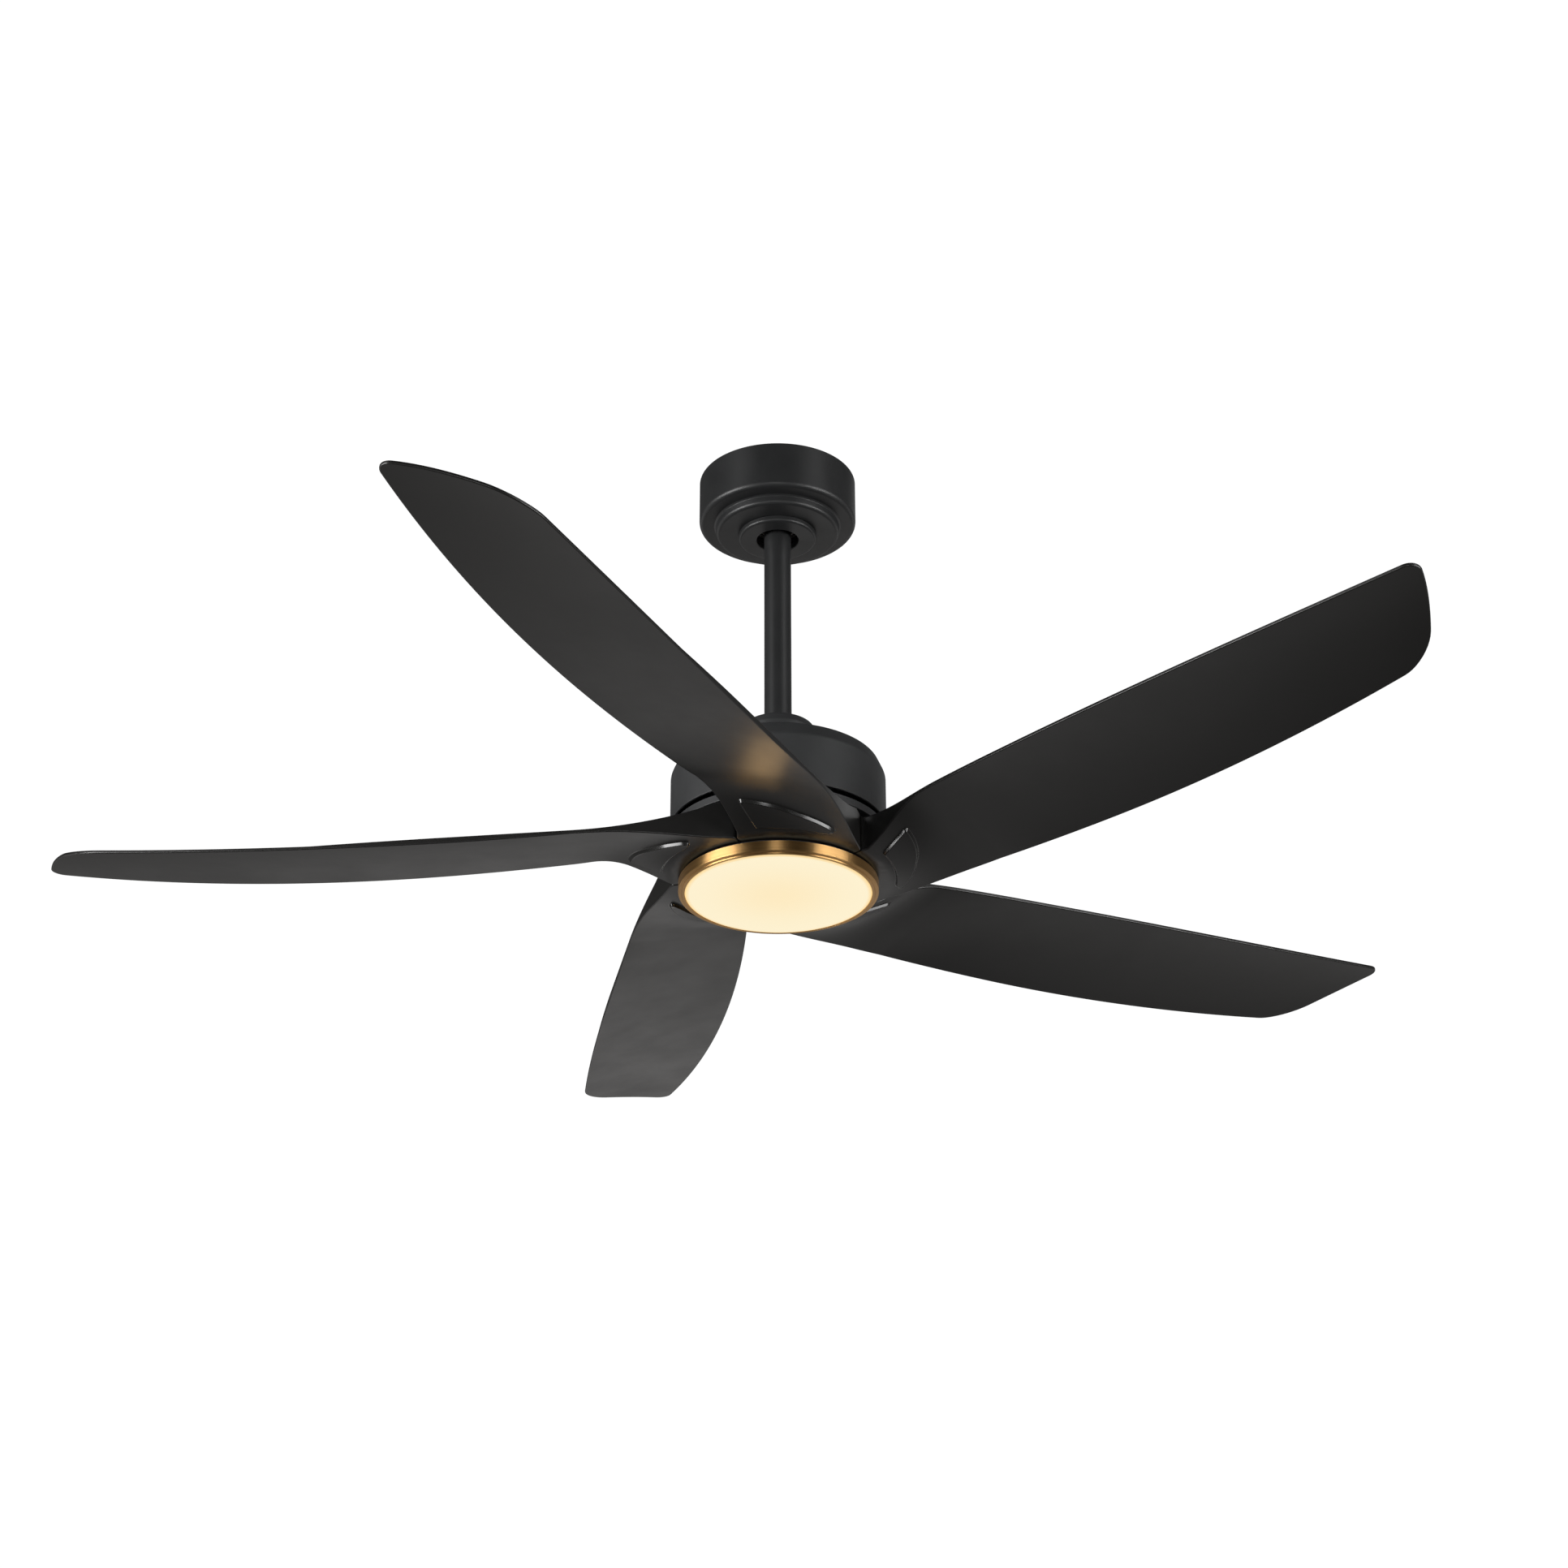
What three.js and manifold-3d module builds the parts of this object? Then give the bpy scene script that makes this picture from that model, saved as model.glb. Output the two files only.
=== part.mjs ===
// Five-blade ceiling fan with an LED light, hung on a ball and a short downrod.
// Millimetres, +Z up. The origin is the centre of the hanger bracket's top face, on the ceiling.
import * as THREE from "three";
import { mergeVertices } from "three/addons/utils/BufferGeometryUtils.js";
import Module from "manifold-3d";

const wasm = await Module();
wasm.setup();

const GAP = 0.3; // air kept between touching pieces
const FINE = 32; // sides of the large turned pieces
const SMALL = 14; // sides of rods, pins and screws

// Hanger
const BALL_Z = -31;
const BALL_RADIUS = 23;
const CRADLE_TOP = -46;
const BRACKET = { halfX: 37, halfY: 18, sheet: 3, tab: 58 };
// Canopy
const CANOPY = { radius: 72.7, wall: 1.4, step: -46, lowerRadius: 55.5, bottom: -55.4 };
const COVER_RING = { radius: 36, hole: 19.4, bottom: -61.2 };
const CANOPY_SCREW_X = 29;
// Downrod and yoke
const ROD_RADIUS = 12.4;
const ROD_BORE = 10.7;
const ROD_TOP = -14;
const ROD_BOTTOM = -286;
const YOKE = { radius: 19, top: -263, bottom: -295.6, pinZ: -272, screwZ: -281 };
const CABLE = { radius: 2.4, top: -8, bottom: -396 };
const COUPLING = { radius: 35.3, top: -258, bottom: -295.4 };
// Motor
const HOUSING = { radius: 96, capRadius: 90, top: -296, shoulder: -312, bottom: -359.5, wall: 2 };
const SHAFT = { radius: 8, bore: 5.5, top: -288, bottom: -399 };
const STATOR = { radius: 58, top: -322, bottom: -344, teeth: 12 };
const MAGNET = { inner: 60, outer: 65, top: -319, bottom: -347 };
const ROTOR = { radius: 68, top: -309, rimRadius: 95.5, rimTop: -364, rimBottom: -371 };
const BEARING = { outer: 16, height: 8 };
// Blades: r runs along the blade's long axis, w across it towards the leading edge
const BLADES = 5;
const BLADE_LEAD = 28.54; // degrees from the middle of a root sector back to its blade's long axis
const FIRST_ROOT = 139.42; // degrees, middle of the first root sector
const ROOT = { radius: 94, top: -376, bottom: -410, plate: 9, bore: 45, lightBore: 80 };
const SEAM_GAP = 0.6; // degrees between neighbouring root sectors
const TRAILING = { offset: 85.2, bendStart: 95, bendEnd: 182, slope: 0.18, sweepStart: 300, sweep: 1.6e-4 };
const TRAILING_LOW = { root: -404.9, drop: 5.1, from: 45, over: 110, low: -407.1, lowR: 291, curve: 1.8e-4 };
const TRAILING_RIDGE = { low: -401.4, endR: 182, curve: 1.58e-3 }; // upper side of the tall root
const LEADING = { rootOffset: 9.5, rootSlope: 0.05, joinR: 182, joinW: 37, slope: 0.3105, curve: 2.75e-4 };
const LEADING_LOW = { level: -380.4, lift: 13.4, liftR: 399, power: 2.54 }; // beyond joinR
const LEADING_ROOT = { bendR: 165, curve: 0.008, kneeR: 128, knee: -391.35, slope: 0.59 }; // inside joinR
const LEADING_HIGH = -377; // leading edge's upper side near the root
const BLADE_THICK = 3.6;
const CAMBER = { rise: 3, from: 150, over: 100 }; // height of the hollow in the underside
const TIP = { r: 612, w: 9, slope: 0.69, curve: 0.0025, leadRound: 14, trailRound: 24 };
const SETTLED_R = 200; // from here out the sections run straight across the blade
const LAST_STRAIGHT = 570;
const PAD = { inner: 104.5, drop: 2.6 }; // raised pad under the root
const BLADE_SCREW = { radius: 64, spread: 18, hole: 2.3 };
// Light
const RING = { radius: 88.2, top: -412.5, bottom: -422.6, wall: 1.6, mouth: 82.7 };
const LENS_FACE = -423.8;
const PAN = { top: -406, radius: 77, flange: 86.4, sheet: 1.2 };
const POST_RADIUS = 38;

const finish = (color, roughness, metalness) =>
  new THREE.MeshStandardMaterial({ color, roughness, metalness });
const FINISHES = {
  blackPaint: [0x262729, 0.5, 0.2],
  blackPlastic: [0x2a2928, 0.42, 0],
  steel: [0x9a9c9e, 0.4, 0.9],
  zinc: [0xb4b6b8, 0.35, 0.9],
  brass: [0xb08a55, 0.3, 1],
  opal: [0xfff1d0, 0.4, 0],
  copper: [0xa8622c, 0.4, 0.8],
  magnet: [0x3a3b3d, 0.6, 0.3],
  aluminium: [0xc9cbcd, 0.45, 0.8],
  nylon: [0xe9e7df, 0.5, 0],
  rubber: [0x1c1c1c, 0.8, 0],
};

const fan = new THREE.Group();

function add(name, geometry, look, parent = fan) {
  const mesh = new THREE.Mesh(geometry, finish(...FINISHES[look]));
  mesh.name = name;
  parent.add(mesh);
  return mesh;
}

// A turned solid about +Z from a closed outline of [radius, height] points.
function turned(outline, sides = FINE) {
  const points = outline.map(([radius, z]) => new THREE.Vector2(radius, z));
  const first = points[0];
  if (first.x > 0) points.push(first.clone());
  return new THREE.LatheGeometry(points, sides).rotateX(Math.PI / 2);
}

// A ring or tube between two heights, its outline running up the outside.
function tube(inner, outer, bottom, top, sides = FINE) {
  return turned([[inner, bottom], [outer, bottom], [outer, top], [inner, top]], sides);
}

// An upright cylinder between two heights.
function bar(radius, bottom, top, sides = SMALL) {
  return turned([[0, bottom], [radius, bottom], [radius, top], [0, top]], sides);
}

// A cutter for a round hole: its flats, not its corners, stand at the radius.
function bore(radius, bottom, top, sides = SMALL) {
  return bar(radius / Math.cos(Math.PI / sides), bottom, top, sides);
}

function block(width, depth, bottom, top, x = 0, y = 0) {
  const box = new THREE.BoxGeometry(width, depth, top - bottom);
  return box.translate(x, y, (top + bottom) / 2);
}

// The plain position and index data of a geometry as a solid that can be joined and cut.
function solid(geometry) {
  const bare = geometry.clone();
  bare.deleteAttribute("normal");
  bare.deleteAttribute("uv");
  const merged = mergeVertices(bare, 1e-4);
  return new wasm.Manifold(
    new wasm.Mesh({
      numProp: 3,
      vertProperties: new Float32Array(merged.attributes.position.array),
      triVerts: new Uint32Array(merged.index.array),
    }),
  );
}

function geometryOf(manifold) {
  const mesh = manifold.getMesh();
  const geometry = new THREE.BufferGeometry();
  geometry.setAttribute("position", new THREE.BufferAttribute(mesh.vertProperties, 3));
  geometry.setIndex(new THREE.BufferAttribute(mesh.triVerts, 1));
  geometry.computeVertexNormals();
  return geometry;
}

// A geometry with others joined to it, then others cut from it.
function carved(base, joined, cut) {
  let shape = solid(base);
  for (const piece of joined) shape = shape.add(solid(piece));
  for (const piece of cut) shape = shape.subtract(solid(piece));
  return geometryOf(shape);
}

// A pan-head or socket screw pointing up, its head's underside at headTop.
function screw(x, y, headTop, length, shank, head, headHeight) {
  const outline = [
    [0, headTop - headHeight],
    [head, headTop - headHeight],
    [head, headTop],
    [shank, headTop],
    [shank, headTop + length],
    [0, headTop + length],
  ];
  return turned(outline, 6).translate(x, y, 0);
}

const polar = (radius, degrees) => {
  const angle = THREE.MathUtils.degToRad(degrees);
  return [radius * Math.cos(angle), radius * Math.sin(angle)];
};

const acrossX = (geometry, z) => geometry.rotateY(Math.PI / 2).translate(0, 0, z);
const acrossY = (geometry, z) => geometry.rotateX(Math.PI / 2).translate(0, 0, z);

// ---- Hanger, fixed to the ceiling ----

function hangerBracket() {
  const { halfX, halfY, sheet, tab } = BRACKET;
  const frameBottom = CRADLE_TOP - sheet;
  const topPlate = block(2 * tab, 2 * halfY, -sheet, 0);
  const outer = block(2 * halfX, 2 * halfY, frameBottom, 0);
  const cradle = bar(30, frameBottom, CRADLE_TOP, 24);
  const inside = block(2 * (halfX - sheet), 2 * halfY + 2, CRADLE_TOP, -sheet);
  const cradleHole = bore(20.3, frameBottom - 1, CRADLE_TOP + 1, 24);
  const wireSlot = block(12, 10, -sheet - 1, 1, 24, 0);
  const fixings = [-1, 1].map((side) => block(10, 5, -sheet - 1, 1, side * 48, 0));
  const tapped = [-1, 1].map((side) =>
    bore(2.3, frameBottom - 1, CRADLE_TOP + 1, 8).translate(side * CANOPY_SCREW_X, 0, 0),
  );
  const frame = solid(outer).add(solid(topPlate)).subtract(solid(inside));
  return carved(geometryOf(frame), [cradle], [cradleHole, wireSlot, ...fixings, ...tapped]);
}
add("hanger_bracket", hangerBracket(), "zinc");

function canopyShell() {
  const { radius, wall, step, lowerRadius, bottom } = CANOPY;
  const rim = -0.5;
  const edge = 6;
  const outside = [[radius, rim], [radius, step + edge]];
  for (let k = 1; k <= 2; k += 1) {
    const turn = (k / 2) * (Math.PI / 2);
    outside.push([radius - edge + edge * Math.cos(turn), step + edge - edge * Math.sin(turn)]);
  }
  outside.push([lowerRadius, step - 1], [lowerRadius - 1, bottom + 1], [lowerRadius - 3, bottom]);
  outside.push([24, bottom]);
  const inside = [
    [24, bottom + wall],
    [lowerRadius - 3, bottom + wall],
    [lowerRadius - 2, step + wall],
    [radius - edge - 1, step + wall],
    [radius - wall, step + edge + 2],
    [radius - wall, rim],
  ];
  const shell = turned([...outside, ...inside].reverse());
  const holes = [-1, 1].map((side) =>
    bore(2.4, bottom - 1, bottom + wall + 1, 8).translate(side * CANOPY_SCREW_X, 0, 0),
  );
  return carved(shell, [], holes);
}
add("canopy", canopyShell(), "blackPaint");

const ringTop = CANOPY.bottom - GAP;
add(
  "canopy_cover_ring",
  turned([
    [COVER_RING.hole, COVER_RING.bottom],
    [COVER_RING.radius, COVER_RING.bottom],
    [COVER_RING.radius, ringTop],
    [COVER_RING.radius - 1.6, ringTop],
    [COVER_RING.radius - 1.6, COVER_RING.bottom + 1.6],
    [COVER_RING.hole + 1.6, COVER_RING.bottom + 1.6],
    [COVER_RING.hole + 1.6, ringTop],
    [COVER_RING.hole, ringTop],
  ]),
  "blackPaint",
);

[-1, 1].forEach((side, i) => {
  const shape = screw(side * CANOPY_SCREW_X, 0, CANOPY.bottom - GAP, 11, 2, 4, 2.6);
  add(`canopy_screw_${i + 1}`, shape, "zinc");
});

add("terminal_block", block(10, 26, -17, -BRACKET.sheet - GAP, 46, 0), "nylon");
add("receiver_box", block(70, 20, -44, -20, 0, 44), "rubber");

// ---- Ball liner, between the cradle and the ball ----

function ballLiner() {
  const inner = BALL_RADIUS + 0.35;
  const outer = BALL_RADIUS + 1.35;
  const steps = 3;
  const from = THREE.MathUtils.degToRad(42);
  const to = THREE.MathUtils.degToRad(64);
  const arc = (radius, k) => {
    const turn = from + ((to - from) * k) / steps;
    return [radius * Math.sin(turn), BALL_Z - radius * Math.cos(turn)];
  };
  const outside = [];
  const inside = [];
  for (let k = 0; k <= steps; k += 1) {
    outside.push(arc(outer, k));
    inside.push(arc(inner, steps - k));
  }
  return turned([...outside, ...inside], 24);
}
add("ball_liner", ballLiner(), "nylon");

// ---- Hanging assembly ----

function hangerBall() {
  const ball = [[0, BALL_Z - BALL_RADIUS]];
  const rings = 9;
  for (let k = 1; k < rings; k += 1) {
    const turn = (k / rings) * Math.PI;
    ball.push([BALL_RADIUS * Math.sin(turn), BALL_Z - BALL_RADIUS * Math.cos(turn)]);
  }
  ball.push([0, BALL_Z + BALL_RADIUS]);
  const rodBore = bore(ROD_RADIUS + GAP, BALL_Z - 30, BALL_Z + 30);
  const pinBore = acrossX(bore(3 + GAP, -30, 30, 10), BALL_Z);
  return carved(turned(ball, 24), [], [rodBore, pinBore]);
}
add("hanger_ball", hangerBall(), "blackPaint");
add("hanger_ball_pin", acrossX(bar(3, -21, 21, 10), BALL_Z), "steel");

const rodTube = tube(ROD_BORE, ROD_RADIUS, ROD_BOTTOM, ROD_TOP, 20);
const rodCuts = [
  acrossX(bore(3 + GAP, -20, 20, 10), BALL_Z),
  acrossX(bore(3 + GAP, -20, 20, 10), YOKE.pinZ),
];
add("downrod", carved(rodTube, [], rodCuts), "blackPaint");

const yokeOutline = [
  [SHAFT.radius + GAP, YOKE.bottom],
  [30, YOKE.bottom],
  [30, YOKE.bottom + 4],
  [YOKE.radius, YOKE.bottom + 4],
  [YOKE.radius, YOKE.top],
  [ROD_RADIUS + 0.5, YOKE.top],
  [ROD_RADIUS + 0.5, ROD_BOTTOM - GAP],
  [SHAFT.radius + GAP, ROD_BOTTOM - GAP],
];
const housingBolts = [90, 210, 330].map((angle) => polar(25, angle));
// Clearance holes for the three screws that hold the housing to the yoke.
const boltHoles = (bottom, top) =>
  housingBolts.map(([x, y]) => bore(2.3, bottom, top, 8).translate(x, y, 0));
const yokeCuts = [
  acrossX(bore(3 + GAP, -30, 30, 10), YOKE.pinZ),
  acrossY(bore(2.5 + GAP, -30, 30, 8), YOKE.screwZ),
  ...boltHoles(YOKE.bottom - 1, YOKE.bottom + 8),
];
add("motor_yoke", carved(turned(yokeOutline, 20), [], yokeCuts), "steel");

const clevisPin = acrossX(bar(3, -24, 24, 10), YOKE.pinZ);
const cotterHole = acrossY(bore(1.1, -6, 6, 8), YOKE.pinZ).translate(21.5, 0, 0);
const clevisHead = acrossX(bar(5, -24, -21, 10), YOKE.pinZ);
add("clevis_pin", carved(clevisPin, [clevisHead], [cotterHole]), "steel");
add("cotter_pin", acrossY(bar(0.8, -8, 8, 6), YOKE.pinZ).translate(21.5, 0, 0), "zinc");
[-1, 1].forEach((side, i) => {
  const near = ROD_RADIUS + GAP;
  const length = YOKE.radius + 4 - near;
  const pin = acrossY(bar(2.5, -length / 2, length / 2, 8), YOKE.screwZ);
  add(`yoke_set_screw_${i + 1}`, pin.translate(0, side * (near + length / 2), 0), "zinc");
});

function housingShell() {
  const { radius, capRadius, top, shoulder, bottom, wall } = HOUSING;
  const rimZ = top - 3;
  const outside = [[34, top], [capRadius, rimZ]];
  const turns = 3;
  for (let k = 1; k <= turns; k += 1) {
    const turn = (k / turns) * (Math.PI / 2);
    const x = capRadius + (radius - capRadius) * Math.sin(turn);
    outside.push([x, shoulder + (rimZ - shoulder) * Math.cos(turn)]);
  }
  outside.push([radius, bottom], [radius - wall, bottom], [radius - wall, shoulder]);
  outside.push([capRadius - wall, rimZ - wall - 1], [34, top - wall]);
  outside.push([SHAFT.radius + GAP, top - wall], [SHAFT.radius + GAP, top]);
  return carved(turned(outside.reverse()), [], boltHoles(top - wall - 1, top + 1));
}
add("motor_housing", housingShell(), "blackPaint");
const flangeTop = YOKE.bottom + 4;
add("hollow_shaft", tube(SHAFT.bore, SHAFT.radius, SHAFT.bottom, SHAFT.top, 16), "steel");

function statorCore() {
  const { radius, top, bottom, teeth } = STATOR;
  const outline = new THREE.Shape();
  const pitch = (2 * Math.PI) / teeth;
  const corners = [[27, -0.34], [44, -0.17], [50, -0.44], [radius, -0.42], [radius, 0]];
  for (let tooth = 0; tooth < teeth; tooth += 1) {
    const left = corners.map(([reach, turn]) => [reach, turn * pitch]);
    const right = left.slice(0, -1).map(([reach, turn]) => [reach, -turn]).reverse();
    for (const [reach, turn] of [...left, ...right]) {
      const angle = tooth * pitch + turn;
      const x = reach * Math.cos(angle);
      const y = reach * Math.sin(angle);
      if (outline.currentPoint.lengthSq() === 0) outline.moveTo(x, y);
      else outline.lineTo(x, y);
    }
  }
  outline.closePath();
  const hole = new THREE.Path();
  hole.absarc(0, 0, SHAFT.radius + GAP, 0, 2 * Math.PI, true);
  outline.holes.push(hole);
  const depth = top - bottom;
  const stack = new THREE.ExtrudeGeometry(outline, { depth, bevelEnabled: false, curveSegments: 8 });
  return stack.translate(0, 0, bottom);
}
add("stator_core", statorCore(), "steel");
const winding = (bottom, top) => tube(30, 48, bottom, top, 20);
add("stator_winding_upper", winding(STATOR.top + GAP, STATOR.top + 8), "copper");
add("stator_winding_lower", winding(STATOR.bottom - 8, STATOR.bottom - GAP), "copper");

// Flat in the rod beside the two cross pins, then into the middle of the hollow shaft.
function supplyCable() {
  const beside = 6.6;
  const bendTop = YOKE.pinZ - 4;
  const bendBottom = SHAFT.top - 8;
  const route = new THREE.CurvePath();
  const at = (y, z) => new THREE.Vector3(0, y, z);
  route.add(new THREE.LineCurve3(at(beside, CABLE.top), at(beside, bendTop)));
  route.add(new THREE.CubicBezierCurve3(
    at(beside, bendTop),
    at(beside, bendTop - 10),
    at(0, bendTop - 8),
    at(0, bendBottom),
  ));
  route.add(new THREE.LineCurve3(at(0, bendBottom), at(0, CABLE.bottom)));
  const section = new THREE.Shape().absarc(0, 0, CABLE.radius, 0, 2 * Math.PI, false);
  return new THREE.ExtrudeGeometry(section, { steps: 44, curveSegments: 8, extrudePath: route });
}
add("supply_cable", supplyCable(), "rubber");

// ---- Coupling cover, slides up the rod ----

add(
  "coupling_cover",
  turned([
    [ROD_RADIUS + 0.5, COUPLING.top - 2],
    [33.3, COUPLING.top - 8],
    [33.3, COUPLING.bottom],
    [COUPLING.radius, COUPLING.bottom],
    [COUPLING.radius, COUPLING.top - 9],
    [31, COUPLING.top - 1.5],
    [27, COUPLING.top],
    [ROD_RADIUS + 0.5, COUPLING.top],
  ], 28),
  "blackPaint",
);
housingBolts.forEach(([x, y], i) => {
  const bolt = screw(x, -y, -flangeTop - GAP, 9, 1.9, 3.4, 2.4).rotateX(Math.PI);
  add(`housing_screw_${i + 1}`, bolt, "zinc");
});

// ---- Rotor, spins about the shaft ----

const shellTop = ROTOR.top;
add(
  "rotor_shell",
  turned([
    [ROTOR.radius - 2, ROTOR.rimTop + GAP],
    [ROTOR.radius, ROTOR.rimTop + GAP],
    [ROTOR.radius, shellTop - 3],
    [ROTOR.radius - 3, shellTop],
    [20, shellTop],
    [20, shellTop + 6],
    [BEARING.outer + GAP, shellTop + 6],
    [BEARING.outer + GAP, shellTop - 2],
    [ROTOR.radius - 3, shellTop - 2],
    [ROTOR.radius - 2, shellTop - 4],
  ], 28),
  "aluminium",
);
add("magnet_ring", tube(MAGNET.inner, MAGNET.outer, MAGNET.bottom, MAGNET.top, 28), "magnet");

const screwSpots = [];
for (let blade = 0; blade < BLADES; blade += 1) {
  for (const side of [-1, 1]) {
    const turn = FIRST_ROOT + (360 / BLADES) * blade + side * BLADE_SCREW.spread;
    screwSpots.push(polar(BLADE_SCREW.radius, turn));
  }
}

const bladeSeat = ROOT.top + GAP;
const flangeOutline = [
  [BEARING.outer + GAP, bladeSeat],
  [82, bladeSeat],
  [84, ROTOR.rimBottom],
  [ROTOR.rimRadius, ROTOR.rimBottom],
  [ROTOR.rimRadius, ROTOR.rimTop],
  [BEARING.outer + GAP, ROTOR.rimTop],
];
const threads = screwSpots.map(([x, y]) =>
  bore(BLADE_SCREW.hole, bladeSeat - 1, ROTOR.rimBottom + 3, 6).translate(x, y, 0),
);
add("rotor_flange", carved(turned(flangeOutline), [], threads), "blackPaint");
const bearing = (top) => tube(SHAFT.radius + GAP, BEARING.outer, top - BEARING.height, top, 16);
add("bearing_upper", bearing(shellTop + 6), "steel");
add("bearing_lower", bearing(ROTOR.rimTop - 1), "steel");

// Smooth step from 0 to 1.
const ease = (x) => {
  const t = Math.min(Math.max(x, 0), 1);
  return t * t * (3 - 2 * t);
};

// Trailing edge: beside the root, a bend, a straight run, then a gentle forward sweep.
function trailingW(r) {
  const { offset, bendStart, bendEnd, slope, sweepStart, sweep } = TRAILING;
  const bend = slope / (2 * (bendEnd - bendStart));
  if (r < bendStart) return -offset;
  if (r < bendEnd) return -offset + bend * (r - bendStart) ** 2;
  const atBendEnd = -offset + bend * (bendEnd - bendStart) ** 2;
  return atBendEnd + slope * (r - bendEnd) + sweep * Math.max(r - sweepStart, 0) ** 2;
}

// Leading edge: one long arc, with an S-bend inside joinR where it runs into the root.
function leadingW(r) {
  const { rootOffset, rootSlope, joinR, joinW, slope, curve } = LEADING;
  const beyond = r - joinR;
  if (beyond >= 0) return joinW + slope * beyond - curve * beyond * beyond;
  const span = joinR - ROOT.radius;
  const x = (r - ROOT.radius) / span;
  const share = ease(x);
  const leave = rootSlope * span * (x - 2 * x * x + x ** 3);
  const arrive = slope * span * (x ** 3 - x * x);
  return rootOffset * (1 - share) + joinW * share + leave + arrive;
}

// Heights of the lower side at the two edges.
function trailingLow(r) {
  const { root, drop, from, over, low, lowR, curve } = TRAILING_LOW;
  if (r < TRAILING.bendEnd) return root - drop * (1 - ease((r - from) / over));
  return low + curve * (r - lowR) ** 2;
}

function leadingLow(r) {
  const { level, lift, liftR, power } = LEADING_LOW;
  const { bendR, curve, kneeR, knee, slope } = LEADING_ROOT;
  if (r > bendR) return level + lift * (Math.max(r - LEADING.joinR, 0) / liftR) ** power;
  if (r > kneeR) return level - curve * (bendR - r) ** 2;
  return Math.max(ROOT.bottom, knee - slope * (kneeR - r));
}

// Heights of the upper side at the two edges: the root is tall and thins out along the blade.
function trailingHigh(r) {
  const { low, endR, curve } = TRAILING_RIDGE;
  const ridge = low + curve * Math.max(endR - r, 0) ** 2;
  return Math.min(ROOT.top, Math.max(trailingLow(r) + BLADE_THICK, ridge));
}

const leadingHigh = (r) => Math.max(LEADING_HIGH, leadingLow(r) + BLADE_THICK);

// How far the blade's middle is arched above the straight line between its edges, q of the way across.
const arch = (r, q) => CAMBER.rise * 4 * q * (1 - q) * ease((r - CAMBER.from) / CAMBER.over);

// How far the tip runs out at offset w, before its corners are rounded.
const tipReach = (w) => TIP.r + TIP.slope * (w - TIP.w) - TIP.curve * (w - TIP.w) ** 2;

// Loss of reach near a rounded corner, at a distance from the side edge.
function cornerLoss(distance, round) {
  if (distance >= round) return 0;
  return round - Math.sqrt(round * round - (round - distance) ** 2);
}

// The trailing and leading edges' places and heights, each at its own distance along the blade.
const trailingAt = (r) => ({ r, w: trailingW(r), low: trailingLow(r), high: trailingHigh(r) });
const leadingAt = (r) => ({ r, w: leadingW(r), low: leadingLow(r), high: leadingHigh(r) });

// One cross-section as [r, w, low, high] points from the trailing to the leading edge.
function bladeSection(trail, lead, shares, bulge) {
  const length = Math.hypot(lead.w - trail.w, lead.r - trail.r);
  const towardsR = (lead.w - trail.w) / length;
  const towardsW = (trail.r - lead.r) / length;
  return shares.map((q) => {
    const push = bulge * 4 * q * (1 - q);
    const r = trail.r + (lead.r - trail.r) * q + push * towardsR;
    const w = trail.w + (lead.w - trail.w) * q + push * towardsW;
    const low = trail.low + (lead.low - trail.low) * q + arch(r, q);
    const high = trail.high + (lead.high - trail.high) * q + arch(r, q);
    return [r, w, low, high];
  });
}

// The tip's outline, or part of the way out to it from the last straight section.
function tipSection(shares, out) {
  const beyondTip = TIP.r + 28;
  return shares.map((q) => {
    const across = (r) => trailingW(r) + (leadingW(r) - trailingW(r)) * q;
    const full = tipReach(across(beyondTip));
    const chord = leadingW(full) - trailingW(full);
    const loss = cornerLoss(q * chord, TIP.trailRound) + cornerLoss((1 - q) * chord, TIP.leadRound);
    const r = LAST_STRAIGHT + (full - loss - LAST_STRAIGHT) * out;
    const low = trailingLow(r) + (leadingLow(r) - trailingLow(r)) * q + arch(r, q);
    return [r, across(r), low, low + BLADE_THICK];
  });
}

function bladeSections() {
  const shares = [0, 0.06, 0.2, 0.4, 0.6, 0.8, 0.94, 1];
  const halfSector = THREE.MathUtils.degToRad((360 / BLADES - SEAM_GAP) / 2);
  const middle = THREE.MathUtils.degToRad(BLADE_LEAD);
  const sections = [ROOT.bore, ROOT.radius].map((radius) =>
    shares.map((q) => {
      const turn = middle + halfSector * (1 - 2 * q);
      return [radius * Math.cos(turn), -radius * Math.sin(turn), ROOT.bottom, ROOT.top];
    }),
  );
  const rootTrail = ROOT.radius * Math.cos(middle + halfSector);
  const rootLead = ROOT.radius * Math.cos(middle - halfSector);
  const sagitta = ROOT.radius * (1 - Math.cos(halfSector));
  for (const leadR of [106, 120, 135, 155, SETTLED_R]) {
    const left = (SETTLED_R - leadR) / (SETTLED_R - rootLead);
    const trailR = leadR - (rootLead - rootTrail) * left * left;
    sections.push(bladeSection(trailingAt(trailR), leadingAt(leadR), shares, sagitta * left * left));
  }
  for (const r of [290, 390, 480, LAST_STRAIGHT]) {
    sections.push(bladeSection(trailingAt(r), leadingAt(r), shares, 0));
  }
  return [...sections, tipSection(shares, 0.7), tipSection(shares, 1)];
}

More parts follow.
